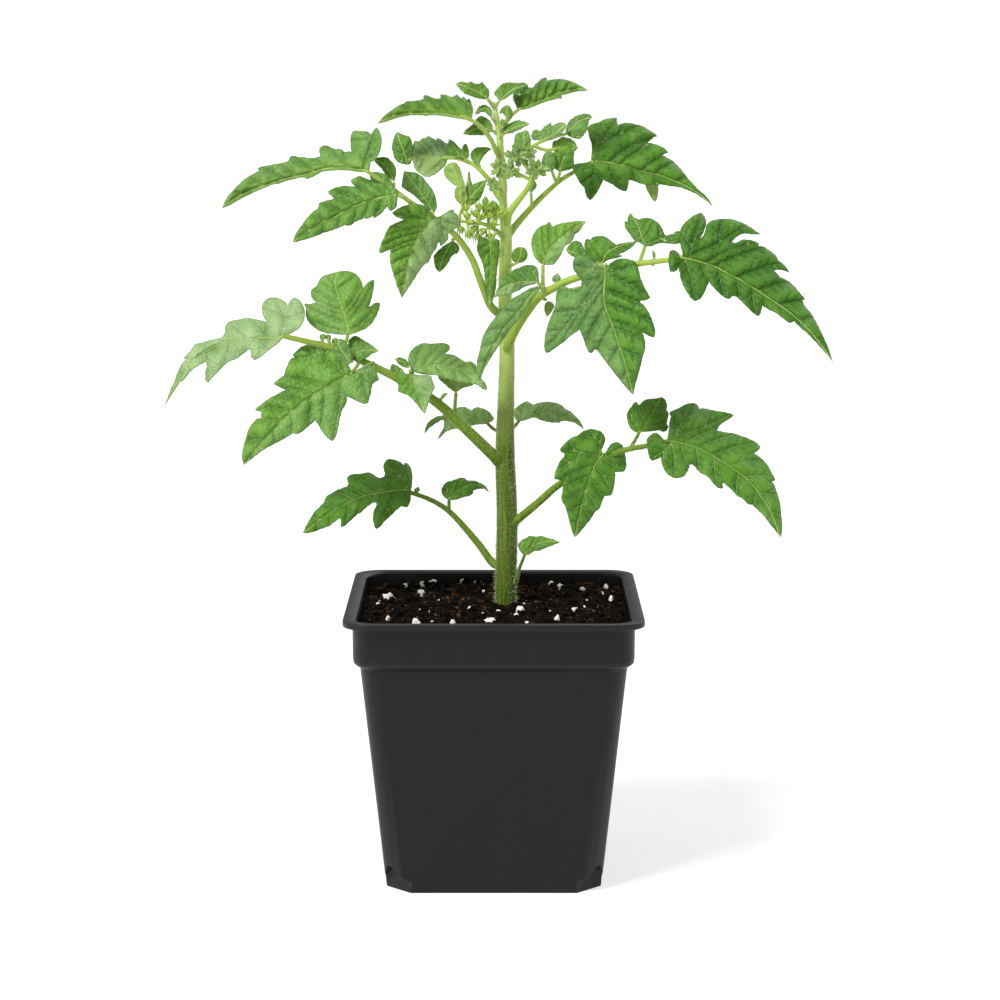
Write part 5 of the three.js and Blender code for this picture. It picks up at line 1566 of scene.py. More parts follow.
# %% Mid left leaf
add_leaf("leaf_mid_left", radii=(3.0, 1.2),
         petiole="504,466,3 494,456,-4 468,431,-9 441,406,-12 418,390,-15 389,374,-19 362,361,-22 "
                 "344,351,-24 313,343,-26 283,336,-28",
         leaflets=[
    leaflet("284,337 253,339 235,340 217,346 198,357 183,372 165,405",
            "293,332 300,327 305,315 303,306 298,299 294,298 290,301 288,306 285,302 278,298 270,298 "
            "264,302 262,310 264,317 268,323 258,320 248,318 238,320 229,322 225,327 225,333 222,337 "
            "212,340 207,341 203,343 196,344 191,350 186,356 184,358 186,360 182,364 178,372 174,382 "
            "170,391",
            "277,344 270,349 263,355 258,359 254,360 251,357 251,352 250,349 244,353 236,359 233,360 "
            "228,362 220,370 213,377 208,383 205,380 205,372 207,364 206,362 198,366 192,370 187,376 "
            "183,381 181,381 178,385 172,394",
            depth=-28, lean=-0.1, roll=1.1, curl=-6, bloom=0.5, smooth=0.1),
    leaflet("352,373 337,381 320,391 305,401 290,413 270,433 255,451 244,465",
            "347,363 341,356 335,351 328,346 322,342 315,341 308,344 300,348 297,351 293,355 296,358 "
            "292,358 288,364 285,372 284,376 278,380 274,384 280,387 286,390 280,393 270,398 262,404 "
            "255,410 259,411 262,412 261,416 263,418 258,418.5 252,424 248,431 247,434 245,441 243,450 "
            "242,458",
            "357,370 362,367 368,363 373,361 376,364 376,370 378,376 379,380 375,382 372,385 371,392 "
            "369,399 368,403 364,404 357,401 351,398 347,396 346,403 342,410 340,418 338,428 336,436 "
            "333,441 328,438 322,431 318,424 315,420 311,424 304,430 298,434 293,433 285,438 278,442 "
            "270,446 262,451 254,457",
            stalk="360,360,-22 357,366,-27 352,372,-30", depth=-30, lean=-0.2, roll=0.3, curl=-4,
            smooth=0.1, tone=0.25, bloom=(0.03, 0.12)),
    leaflet("352,360 357,353 366,350 379,351",
            "349,355 348,346 349,340 352,337 357,336 363,340 370,344 375,348",
            "356,361 360,361 365,359 372,354",
            stalk="343,353,-24 349,351,-25", depth=-25, lean=0, roll=0.6, bloom=0.05),
    leaflet("349,335 346,320 341,305 337,292 335,282 337,272",
            "335,334 322,332 315,328 308,321 306,316 306,308 304,304 311,304 316,302 312,298 311,294 "
            "312,289 316,287 319,281 322,277 330,274",
            "360,331 368,327 374,320 378,312 380,303 375,303 371,306 368,307 371,300 373,292 374,285 "
            "374,280 370,281 366,285 363,288 361,281 357,275 351,272 344,271",
            stalk="340,352,-24 346,342,-23 348,333,-22", depth=-22, lean=0.35, roll=0.1, curl=3,
            bloom=(0.12, 0.04), smooth=0.2, tone=0.4),
    leaflet("411,374 414,382 417,392 421,403 425,414",
            "405,374 398,366 392,364 390,369 392,376 396,381 399,386 398,391 402,393 408,395.5 414,401 "
            "420,408.5",
            "420,375 431,376 432.5,381 434,385 435,387 433,391 430.6,396.3 428.8,401.3 427,407.5",
            stalk="411,387,-16 411,376,-20", depth=-20, lean=-0.3, roll=0, tone=0.3, bloom=(0.0, 0.35),
            smooth=0.3),
    leaflet("412,371 425,367 440,365 455,368 470,377 487,390",
            "410,367 408,360 409,354 412.5,349 417.5,345.6 424,343 430,344 436,343.5 442.5,343 448,344.5 "
            "450,347 449,350.5 445.6,352.5 444.4,354 450,354.4 455,355.6 460,358.8 465,362 470,364.4 "
            "474,369.4 477.5,375 482.5,380 486,385",
            "415,372.5 422.5,374 430,375 436,375 441,377.5 449,380 457.5,382 466,382.5 474,384 479,385.6 "
            "482.5,389",
            stalk="415,389,-15 413,378,-16 412,371,-16", depth=-16, lean=-0.05, roll=0.8, bloom=0.2,
            tone=0.45, smooth=0.3),
    leaflet("456,393 459,382 464,372 470,361",
            "450,389 444,383.5 439,379 437,372 446,370 456,365",
            "461,389 467,387 473,385 477,376 477.5,370 475,364",
            stalk="455,418,-9 455,406,-9 456,393,-9", depth=-9, lean=0, roll=0.2, under=True),
    leaflet("351,363 345,355 340,347 338,339",
            "346,366 339,362 335,356 333,351 335,345 337,341",
            "352,357 350,349 346,342 342,339",
            stalk="343,353,-24 349,357,-26 352,362,-28", depth=-28.5, lean=0.1, roll=0.2, bloom=0.15),
    leaflet("409,368 403,362 395,359",
            "404,367 400,365 397,362",
            "408,362 403,358 398,357.5",
            stalk="411,373,-18 410,370,-17", depth=-17, lean=0.1, roll=0.3),
    leaflet("322.5,340 323,337 322.5,333.5",
            "320.3,339 319.8,335.5",
            "326,339 326,335",
            stalk="322,345,-25.5 322,342,-25 322.5,340,-25", depth=-25, lean=0.1, roll=0.2),
    leaflet("328.5,340.5 328.5,337 328,334",
            "326.5,339 326.5,335.5",
            "331,339 330.5,335.5",
            stalk="330,347,-25 329.5,343,-25 328.5,340,-25", depth=-25, lean=0.1, roll=0.2),
    leaflet("336,345.5 335,341 335,337.5",
            "332.5,344 332,340",
            "338.5,343 337.5,339",
            stalk="338,350,-24 337,348,-24.5 336,345,-25", depth=-25, lean=0.1, roll=0.2),
    leaflet("441,399 442.5,395.5 448,393",
            "441,396.5 444,393",
            "443.5,398 446.5,395",
            stalk="441,406,-12 440,403,-11 441,398,-11", depth=-11, lean=0.1, roll=0.2),
])

# %% Short leaf behind the stem
add_leaf("leaf_behind_stem", radii=(1.6, 1.2),
         petiole="505,440,0 505,434,8 505,430,17",
         leaflets=[
    leaflet("519,421 532,415 545,412 560,414 573,421 584,429",
            "516,420 514.4,415 514,410 517,407 521,404 526,401.3 530,402.5 532,405 535,404 541,402.5 "
            "549,402 556,403 562.5,405.6 565,409 570,411 575,416 580,421",
            "524,420.6 535,417.5 539,419.4 545,421.3 552.5,422.5 559,423 561,421.3 567.5,421.3 574,422.5 "
            "579,425.6",
            stalk="505,431,14 513,428,17 519,421,19", depth=19, lean=0.1, roll=0.9, bloom=0.4, tone=0.4,
            warm=0.35),
    leaflet("487,423 472,418 458,415 445,416 434,421 424.4,434",
            "492.5,421 494,418.5 492.5,416 490,412.5 486,410 481,408 476,407.5 473,409 472,411 469,409 "
            "464,407 458.5,407.5 450,411 442.5,415.5 437.5,416.3 432.5,419 428,422.5 425.6,427.5",
            "485,424 477.5,424.5 470,426 457.5,428.5 450,430 445,432.5 441,437 437.5,439.4 439.5,435 "
            "442.5,430 445,425 443.5,419.5 437.5,422.5 431,426.5 426.5,431",
            stalk="505,431,14 495,430,17 487,423,19", depth=19, lean=0.1, roll=0.9, bloom=0.3, warm=0.35),
])

# %% Mid right leaf
add_leaf("leaf_mid_right", radii=(2.3, 1.1),
         petiole="506,354,0 509,344,-5 516,329,-8 527,312,-11 539,297,-14 552,289,-16 570,280,-20 "
                 "606,270,-28 637,264,-34 668,260,-40 683,257,-43",
         leaflets=[
    leaflet("683,258 700,262 715,267 725,272 740,280 755,289 770,299 790,313 808,329 820,344 833,362",
            "682,250 680,243 680,232 683,225 688,220 695,215 701,213 705,218 706,223 702.5,234 695,244 "
            "703.7,235.5 708,223 715,220 728,219 740,222 750,227 757,232 760,234 752,234 742,234 735,238 "
            "731,242 736,243 742,240 750,240 756,242 759,244 758,246 764,247 770,251 776,256 778,260 "
            "783,264 787,269 789,272 782,270 776,270 774,271 780,277 788,281 794,286 799,292 804,298 "
            "805,300 802,300 804,305 810,312 816,322 821,332 827,345",
            "678,253 674,250 670,251 669,257 669,265 670,271 674,272 678,269 679,266 680,275 683,285 "
            "687,292 691,298 695,301 700,299 704,293 707,286 709,281 713,287 718,292 724,297 729,299 "
            "732,296 735,296 739,299 744,304 750,310 756,315 759,316 761,311 762,305 768,309 776,313 "
            "784,319 790,323 794,321 800,327 808,334 815,341 823,350",
            depth=-43, lean=-0.15, roll=0.9, curl=-6, shade=0.25),
    leaflet("541,286 533,293 526.7,301.5 517.8,312.5 510,322 502,332 495.6,343 490,355 484.4,368 480,381",
            "533.3,287 524.4,291.7 519,295 513.3,298.3 507.8,302.8 502,309.4 496.7,316 492,321.7 "
            "486.7,329.4 483.3,336 481,343 480,350.6 478,357.5 477,365 477.5,374",
            "540,289 535.6,295.5 530,303.5 526.7,308 522.5,314 519,319 513.3,325 509,330 505.6,336 500,344 "
            "496.7,349 492,356 489,361 485.6,367 482,374",
            stalk="545,294,-15 541,287,-20", depth=-20, lean=-0.05, roll=0.2, bloom=0.16),
    leaflet("539,282 530,281.5 521,282 512,284 504.4,287 498,292.5 493,298",
            "538.3,274 537.8,268.3 534.4,265.6 529,265 524.4,265.6 519,267.8 514.4,269.4 512,271.7 509,274 "
            "503.3,279.4 499,286 495.6,293",
            "533.3,284.4 526.7,286 521,289 515.6,291.7 510,294 503.3,295.3 498,296",
            stalk="548,291,-16 538,283,-17", depth=-17, lean=0, roll=0.5, bloom=(0.0, 0.35)),
    leaflet("543.5,264.5 545.6,257 551,248.3 560,239.4 571,230.6 586,221.5",
            "540,263 535.6,258.3 532.8,252.8 531.4,246 532,238.3 534.4,232.8 537.8,228.3 542,225.6 "
            "546.7,224 549.4,222 551,223 551.7,226 553.3,226.7 557.8,224.4 563.3,223 571,222 579,221",
            "549,265 554.4,264 557.8,259.4 561,255 563,250.6 564.4,246.7 566,245 570,243.3 573.3,239 "
            "574.4,235 579,231.7 582,227",
            stalk="545,294,-15 543,283,-14 543,265,-12", depth=-12, lean=0.3, roll=0.3, warm=0.3,
            smooth=0.4, bloom=(0.0, 0.3), tone=0.4),
    leaflet("605,266 605,280 604,292 604,302 607,312 612,325 618,342 624,360 629,378 633,395",
            "601,266 592,261 585,256 577,255 573,262 574,270 579,276 582,281 581,286 579,290 576,294 "
            "572,292 568,288 562,286 557,291 556,298 556,303 553,312 548,325 545,338 545,350 547,353 "
            "555,348 565,341 573,334 580,329 583,337 586,346 589,352 591,353 595,349 597,350 603,358 "
            "610,367 617,376 625,386",
            "608,266 612,262 618,259 627,259 635,262 638,268 640,276 643,284 647,292 650,298 646,300 "
            "641,300 640,302 645,307 650,315 654,326 655,335 654,337 649,336 644,333 642,333 645,342 "
            "645,350 643,356 641,364 638,375 635,386",
            stalk="606,270,-28 606,264,-32", depth=-32, lean=-0.1, roll=0.4, curl=-4, shade=0.1,
            bloom=(0.15, 0.0)),
    leaflet("602,264 607,253 618,247 637,241",
            "593,262 588,256 585,249 585,241 587,239 591,240 593,237 600,236 606,237 611,241 616,245 "
            "624,243",
            "608,260 616,258 622,256 618,254 626,251 632,247",
            stalk="600,272,-26 602,264,-23", depth=-23, lean=-0.3, roll=0.9),
    leaflet("598,264 590,262 579,255 566,250",
            "586,252 583,246 580,242 575,241 571,243 568,247",
            "582,260 574,257 569,254",
            stalk="596,273,-25 598,264,-22", depth=-22, lean=0.2, roll=0.7),
    leaflet("645,246 642,238 638,226 631,213",
            "640,243 634,240 629,233 625,227 625,221 628,223 628,217",
            "652,246 660,243 673,244 680,243 680,231 677,231 672,234 666,236 664,233 662,228 658,223 "
            "652,219 645,218 639,220 634,217",
            stalk="639,264,-34 642,255,-34 645,246,-34", depth=-34, lean=0.6, roll=0),
    leaflet("548,301 548,308 546.7,317",
            "545,304 544.3,309 545.5,314",
            "552,302.5 554.5,306 552,311 549,315",
            stalk="541,297,-13 546,300,-11", depth=-11, lean=0, roll=0, under=True),
    leaflet("556,283 557,278 557.5,273",
            "552.5,281 552.5,277 555,275",
            "560.5,281 560.5,277 559,275",
            stalk="557,287,-17 556,283,-16", depth=-16, lean=0.1, roll=0.1, bloom=0.2),
    leaflet("654,259 654.5,254 652,250",
            "652.8,256 652.4,252.5",
            "655.8,256 654.2,251.5",
            stalk="652,265,-37 654,262,-36 654,258,-35", depth=-35, lean=0.1, roll=0.1),
])

# %% Upper right leaf
add_leaf("leaf_upper_right", radii=(1.7, 0.8),
         petiole="508,238,0 513,229,5 523,217,8 533,206,11 547,192,15 561,180,18 576,171,20 593,162,22",
         leaflets=[
    leaflet("591,161 604,162 617.5,164.4 626.5,166.5 635.6,169 645,172 654,174 663,176.5 672,180 681,184 "
            "690,188.5 699,194 706,200 713,206.5",
            "591.5,155 592,147 591,142 589.3,137 588.4,132.5 587.5,128 590,125.3 594.7,123.5 600,122 "
            "603.8,119.8 608,119 613,118 617,118.5 616.5,121 617.5,125.3 621,124 626.5,123 632,123.6 "
            "637.5,124.8 643,126.6 647.5,129.4 652,132 657,136.2 654,137 649,137.5 644.7,138.5 641,139.8 "
            "638.4,141.6 637,145 640,143.5 644.7,142.4 649,143 654,144 658.4,145.3 663,147.5 666.5,150.3 "
            "668,153 665.6,153.5 662,155.3 665.6,157 669,159 673,161 676,164 681,169.4 685.6,175.3 "
            "690,180.7 694.7,185.7 699,190.3 704,194.4 708.4,199",
            "584,163 577.5,163.5 573.4,165 572,167 574,171.6 576.5,177 579.7,182.5 582,185.3 584.3,188 "
            "586,194.4 587.5,198 589.7,200 591.5,199.4 595.6,194.4 599,189 601.5,183.5 603.4,179.8 "
            "606.5,181.6 611,183.5 614,185.3 617.5,188.5 622,190.3 625.6,191.5 627.5,188 628.2,184.4 "
            "628.4,180.3 632,180.3 635.6,181.6 640,183.5 645,184.6 652,185 658,184.8 661.5,184.4 "
            "666.5,185.3 672,186.2 681,187.5 685.6,189 690,191 694.7,193 699,195.7 704,199",
            depth=22, lean=0.15, roll=0.9, curl=-4, shade=0.05),
    leaflet("560,172 563,160 575,142",
            "552,166 553,153 563,150",
            "573,168 574,156",
            stalk="557,184,17 560,172,16", depth=16, lean=0.2, roll=0.2),
    leaflet("552,172 547,165 546,158 547,151",
            "546.7,171 541.7,170.3 540,168.7 541.3,163.7 542.5,158.7 544,154",
            "555,168 556.3,162 554,155.3 552.5,152 550,151.3",
            stalk="557,184,17 552,172,15", depth=15, lean=0.2, roll=0.2, bloom=0.15),
    leaflet("531,193 531,186 533,178",
            "526,186",
            "537,186",
            stalk="532,207,10 531,193,8", depth=8, lean=0.2, roll=0),
    leaflet("652,183 653,191 655,202",
            "645,183 646,188 649,193.5 652,199",
            "658.4,183 658.4,188 658,194.4 656.5,200",
            depth=26, lean=0.2, roll=0.2, under=True),
])

# %% Upper left leaf
add_leaf("leaf_upper_left", radii=(1.9, 0.9),
         petiole="502,318,0 490,305,-6 485,293,-9 479,277,-12 473,261,-14 464,246,-17 452,232,-20 "
                 "434,218,-25 409,201,-31 390,187,-36 367,171,-40",
         leaflets=[
    leaflet("432,219 425,227 419,235 413,246 409,257 406,270 403.5,283 402,298",
            "431,212 428,207 422,205 414,203.5 407,205 401,207 396,210 393,212 392.5,214 395,216 399,218 "
            "404,219 402,220.5 397,222.5 394,224 391,225.5 388.5,228 385,235 382,241 380,247 379,251.5 "
            "380.5,253 384,252 388,250.5 390.5,249 390,253 390,259 391,266 393,273 395.5,282 398.5,290",
            "436,218 441,215.5 446,212.5 451,209.5 453.5,209.5 453.5,212 457.5,215 458,218 460,221 "
            "460.5,224 460,227 455,228.5 452,230 448,234 448,239 446,242 440,246 440.5,242 437,243 "
            "435.5,250 433,252 431,257 429,261 427.5,263.5 425,264 422,267 418,273 413,281 407,290",
            stalk="436,220,-24 432,219,-29", depth=-29, lean=-0.2, roll=-0.4, curl=-4, tone=0.4, warm=0.3,
            bloom=(0.0, 0.35)),
    leaflet("452,241 446,252 442,260 439,272",
            "442,247 437,252 434,255 434,261 436,269",
            "458,244 459.5,249 457,254 455,253.5 452,256 449,261 446,266 442,270.5",
            stalk="456,238,-18 452,240,-17", depth=-17, lean=-0.2, roll=0),
    leaflet("398,194 385,197 372,200 358,205 345,211.5 335,217 320.5,223.5 309,230.5 300,237 293,242.5",
            "394,186.7 390.6,180 386,174.4 380.6,172.8 375,172 371,173.3 370,176.7 371.7,181 371.7,184 "
            "367,183.3 363,181 361,176 359,176 355,178 351,180.6 352.8,184.4 358,187 352,186.7 346,186 "
            "340.6,186.7 334,188.3 328.3,191.7 328.3,193.3 331,195.6 334,198 332.8,199 328.3,200.2 "
            "322.8,201.7 319,203.3 319,206 317.8,209 314,211 309.4,215.6 304,222 298.3,230 294.4,236.7",
            "397,200 396.7,205.6 394,209.4 390.6,211 388.3,209 387,205.6 385,209 381.7,213.3 377,216.7 "
            "374.4,217.8 372.8,215.6 369,218.3 366,218.7 364.4,217.8 359.4,220 355,222 350.6,225.6 "
            "347.8,226 344.4,225 340.6,227 332.8,230 326,232 318.3,235 310.6,237.8 301.7,240.6",
            stalk="403,197,-32 398,195,-41", depth=-41, lean=-0.1, roll=0.35, curl=-3, bloom=0.05,
            tone=0.2),
    leaflet("369,172 363,170 356,169 348,168 339.5,168 331.7,168.3 324,169.4 315,171.7 304,174.6 293,177.4 "
            "281.7,180.2 270.6,183.6 259.4,187.3 248.3,191.6 237,197.4 228,202.8 222,208",
            "369.4,169 370,165.6 370.6,162 373.3,161 376,157.8 379,153.3 381,146.7 381.7,141 380.6,134.4 "
            "378.3,129.4 376,128 374,130 371.7,134 370,134 368.3,131.7 361.7,131.7 356,131 352.8,132.2 "
            "351,136.7 350.8,142.2 351,147.8 352,152.2 348.3,151.7 346,152.2 344,151.7 341.7,149.4 339,149 "
            "335,149 331.7,147.8 328.3,146 325,145.8 321,146.7 319.4,149.4 320,153.3 320.6,156.7 317,157.2 "
            "312.8,158.3 308.3,158.3 304,157.2 299.4,157.2 295,156 291.7,156 289,158.3 289,160.6 286,162.2 "
            "280.6,163.3 275,164.4 268.3,165.6 261.7,166.7 257.8,169 259.4,170.6 257,172.2 251.7,175 "
            "245,179 239.4,184 232.8,191 227,197.8",
            "359.4,171.7 348.3,170.4 337,170 326,171 320.6,171.9 317.8,174 312.8,176.7 306.7,179.4 "
            "305.6,177.4 302.8,176.9 298,178 292.8,179.2 286,180.9 281.7,182.3 277.8,183.8 275,183.6 "
            "268.3,186.2 259.4,189.7 248,195 237,200.8 228.3,205.8",
            depth=-40, lean=0.1, roll=2.0, fold=-1.1, curl=-3, bloom=0.12, warm=0.45, tone=0.25,
            shade=0.12),
    leaflet("434,213 428,203 421,193 413,182 404,171",
            "428,208 422,203 417,198 412,194 406,190 402,187 402.5,180",
            "437,207 436.5,202 435,195 432,189 428,184 424,179 420,175 415,172.5 410,172",
            stalk="432,217,-25 433,212,-22", depth=-22, lean=0.3, roll=0.2, bloom=0.1),
    leaflet("394,182 389,171 382,163 373,159",
            "386,175 381,168 376,163",
            "396,175 396,169 393,163 388,158 382,157",
            stalk="393,189,-35 394,183,-33", depth=-33, lean=0.3, roll=0),
])

# %% Left leaf under the top
add_leaf("leaf_left_under_top", radii=(1.4, 0.8),
         petiole="502,203,0 496,193,4 489,180,6 477,167,8 466,161,10 455,158,11 443,158,12",
         leaflets=[
    leaflet("448,158 440,157.5 432,156.5 424,155.5 417,155.5 412.7,157.5",
            "449,156 448.5,150 448,144 445.5,143 442,140.5 439,138.6 437,138.2 437.5,140 435.5,140 "
            "432.7,138.6 430,137 428,136 426.4,137.7 423.6,138.6 421.8,138.6 420.5,141 418,141.8 415.5,141 "
            "414,142.3 412.7,148 412.5,153",
            "447,161.4 445.5,165 442.7,168 439,171.4 433.6,175 428,176.8 423.6,176 419,173 415.5,169.5 "
            "413.6,165 413,160.5",
            depth=12, lean=0, roll=0.9, fold=0.5, bloom=0.3, under=(False, True)),
    leaflet("408,165 404,152 400,142 397.3,132",
            "403.6,164 398,162.3 395.5,159.5 393.6,156 392.7,151.4 391.8,148.6 392.7,143 394,138.6 396,134",
            "410,164 411.8,160.5 413,156.8 412.7,150.5 412.3,144 411,139.5 409,136.8 406.4,136 401.8,134.5",
            stalk="430,158,12 418,158,13 408,160,14", depth=14, lean=0.4, roll=0),
    leaflet("465.5,159 459,154 454,147 449,139.3",
            "457,158.2 450,156.8 447.3,151.4 448,145",
            "468.6,157.7 469,152.3 468,147.7 466.4,144 464.5,144 462.7,146.8 461.8,149.5 459.5,147.7 "
            "457,145 454.5,142.3 451.8,140.5",
            stalk="468,162,9 465,158,9", depth=9, lean=0.4, roll=0),
    leaflet("477.7,166 478,158 484,151.5 492,149",
            "474.5,162.7 471,158.6 470.5,154 472.7,150.5 476.4,147.7 481,147.3 486.4,147.3",
            "480,162.3 482.7,157.7 487.3,152.3",
            stalk="480,170,8 479,164,7", depth=7, lean=0.2, roll=0.4, tone=0.5),
])

# %% Top left leaf
add_leaf("leaf_top_left", radii=(1.2, 0.7),
         petiole="500,160,0 496,151,-3 491,140,-5 483,129,-7 473,121,-9 460,116,-10",
         leaflets=[
    leaflet("471,120 461,117.2 452,115.5 442.7,114.2 433.6,113.7 424.5,113.4 415.5,113.4 406.4,113.9 "
            "397.3,115.2 388,118.2 378,123",
            "472.7,113 472.7,108.6 471.4,104 470,100 469,98.5 467.7,100 466,100.5 465,98 463,96.8 "
            "461.8,100.3 460,99 459,96.4 457,94.8 455,96 453,97 451,97.3 449,96.4 447,95.5 442.7,94.5 "
            "440.5,94.5 440.5,96.4 441.8,98.2 437.3,99 433.6,98.2 430.5,96.8 427.3,95.7 424.5,95.5 "
            "423.6,96.8 424.5,99 420,100.5 415.5,101 411,101.4 406.4,101.8 404.5,102.7 405,103.6 "
            "401.8,104.3 397.3,106.8 392.7,110 388,113.2 383.6,116.8",
            "461,118.6 452,117 442.7,115.6 437.3,115 429,114.9 425.5,115.6 422,114.9 415.5,114.9 411,114.9 "
            "404.5,116 399,117 392.7,119 383.6,122",
            depth=-9, lean=0.1, roll=3, fold=-2.1, bloom=0.05, warm=0.6),
])

# %% Top right leaf
add_leaf("leaf_top_right", radii=(1.1, 0.6),
         petiole="499,142,0 503,132,3 508,120,5 514,113,6 521,108,7",
         leaflets=[
    leaflet("518,110 526.7,107 535,103 543.3,99.2 551.7,95.7 560,92.7 568.3,90.5 576,89.2 582.5,89.3 "
            "587.5,90.3",
            "516,105.3 513.5,99.5 513.2,96 514,93.3 516,89.5 517.5,86 519,83.7 521.7,82.7 525,83.3 "
            "527.5,85.3 528.2,88 530,87.4 532,88.3 534.6,86 535.4,83.7 537.5,83.5 540,80.3 543.3,78.3 "
            "546.3,77.7 546.7,80 548,81 551.7,80 556.7,79.3 563.3,79.5 568.3,80.8 573.3,82.4 578.3,85 "
            "583.3,87.4",
            "523.3,109.3 526.7,108.7 531.7,107 538.3,104.3 545,101.8 550,100.4 555,99 559,98 562,98.5 "
            "561.3,96.6 561.5,95 566,94 571,92.4 576,91.3 582.5,90.6",
            depth=7, lean=0.1, roll=1.6, fold=-0.8, bloom=0.05, warm=0.6),
])

# %% Side shoot
add_leaf("side_shoot", radii=(2.0, 0.8),
         petiole="506,228,0 508,216,-5 514,206,-7 522,196,-9 529,186,-10 532,172,-11 530,157,-10",
         leaflets=[
    leaflet("566,134 572,128 580,121 592,117",
            "566.3,127.5 569,122 572.5,118.7 576,116.2 580,115 585,114 589.2,114.3",
            "570,136.5 575,138.3 580,138.5 584.3,134 587.5,128.7 588.3,122.5 589.5,119.5",
            stalk="530,160,-10 531,148,-9 543,141,-8 557,136,-6 566,134,-5", depth=-5, lean=0.3, roll=0.6,
            tone=0.1, bloom=0.1),
    leaflet("544,139.5 551,136 558,131 566,124",
            "538,140 532,139 532.3,133 534.3,130.3 537.5,130 540.4,132 542,130.2 544.5,127 547,125.3 "
            "550.4,123.2 551.5,125.5 553.5,126 557,123.6 561,122.6",
            "549,140 555,138 560,134.5 563.5,130.5 566,127",
            stalk="544,141,-8 544,138,-8", depth=-8, lean=0.1, roll=0.6, tone=0.3, bloom=0.1),
    leaflet("527,147 524,143 523,137 525,130.3",
            "523,145.5 518,146.5 515.4,143.5 514.6,139 515.5,135 518.5,132.8 522,132",
            "530,145 531,141.5 530.3,137.5 529,133.5 527.3,130.6",
            stalk="531,152,-9 527,146,-9", depth=-9, lean=0.3, roll=0, tone=0.35, bloom=0.1),
    leaflet("554,151 561,145 569,143 578,148",
            "552,146 554,141 558,140 562,137 567,138 571,139 575,143",
            "557,156 562,153 567,155 571,151 575,151",
            stalk="534,146,-9 545,150,-8 556,149,-7", depth=-7, lean=0.2, roll=0.4),
], tufts=[
    {"place": (518, 156, -11), "stalk": (529, 170, -11), "reach": 15, "count": 7, "seed": 3},
    {"place": (537, 170, -12), "stalk": (531, 178, -10), "reach": 13, "count": 6, "seed": 5},
    {"place": (512, 171, -12), "stalk": (531, 180, -10), "reach": 12, "count": 5, "seed": 8},
    {"place": (499, 167, -6), "stalk": (502, 176, -1), "reach": 12, "count": 7, "seed": 13},
    {"place": (493, 184, -6), "stalk": (502, 191, -1), "reach": 9, "count": 6, "seed": 17},
    {"place": (531, 152, -9), "stalk": (531, 158, -10), "reach": 8, "count": 5, "seed": 23},
])

# %% Truss of flower buds
add_leaf("flower_truss", radii=(1.1, 0.7),
         petiole="504,240,0 499,233,-4 489,226,-6 478,223,-7 467,222,-8 459,221,-8",
         leaflets=[
    leaflet("463,206 461,197 460.5,188 457,176 450,163",
            "459,203 455.5,199 454.5,194 455,190 457.3,186.5 450,181.4 445.5,177 443.6,172 444.5,167.5",
            "468,199 467,193 466,188 464.5,183 462.7,177 461,171.4 458.6,166 455.5,162.7",
            stalk="460,221,-8 460,214,-8 463,206,-7", depth=-7, lean=0.3, roll=0, under=True),
    leaflet("464,206 470,198 477,190 487,180",
            "465,197 466,188 467.5,179 469,171 470.5,179 472,185 477,183 482,181",
            "472,205 477,202 482,195 484,189",
            stalk="460,214,-8 464,206,-6", depth=-6, lean=0.3, roll=0.2, tone=0.3),
    leaflet("490,241 491,262 490,285 489,308",
            "484,237 480,238 477.5,244 477,249 479,255 482,262 484,270 485,280 486,290 487,300",
            "495,239 499,240 499.5,246 499,256 497.5,266 496.5,276 496,286 494,296 491.5,304",
            stalk="497,231,-5 493,237,-10 490,243,-13", depth=-13, lean=0, roll=0, tone=0.15),
    leaflet("488,218 486,207 485,196",
            "484,214 482,210 483,205 482,201",
            "490,213 491,208 489,203 488,199",
            stalk="489,226,-6 488,218,-6", depth=-6, lean=0.2, roll=0),
    leaflet("495,219 496,210 493,200",
            "492,216 491,212 492,208 490,204",
            "498,215 500,212 499,207 497,203",
            stalk="494,229,-5 495,219,-6", depth=-6, lean=0.2, roll=0),
], buds="467,216,-9 474,229,-9 482,217,-8 484,231,-8 490,216,-7 461,229,-9 494,223,-8 476,214,-6 "
        "470,222,-10 466,208,-9 479,207,-8 488,207,-7 478,236,-9 490,236,-8 500,214,-8 469,234,-9")

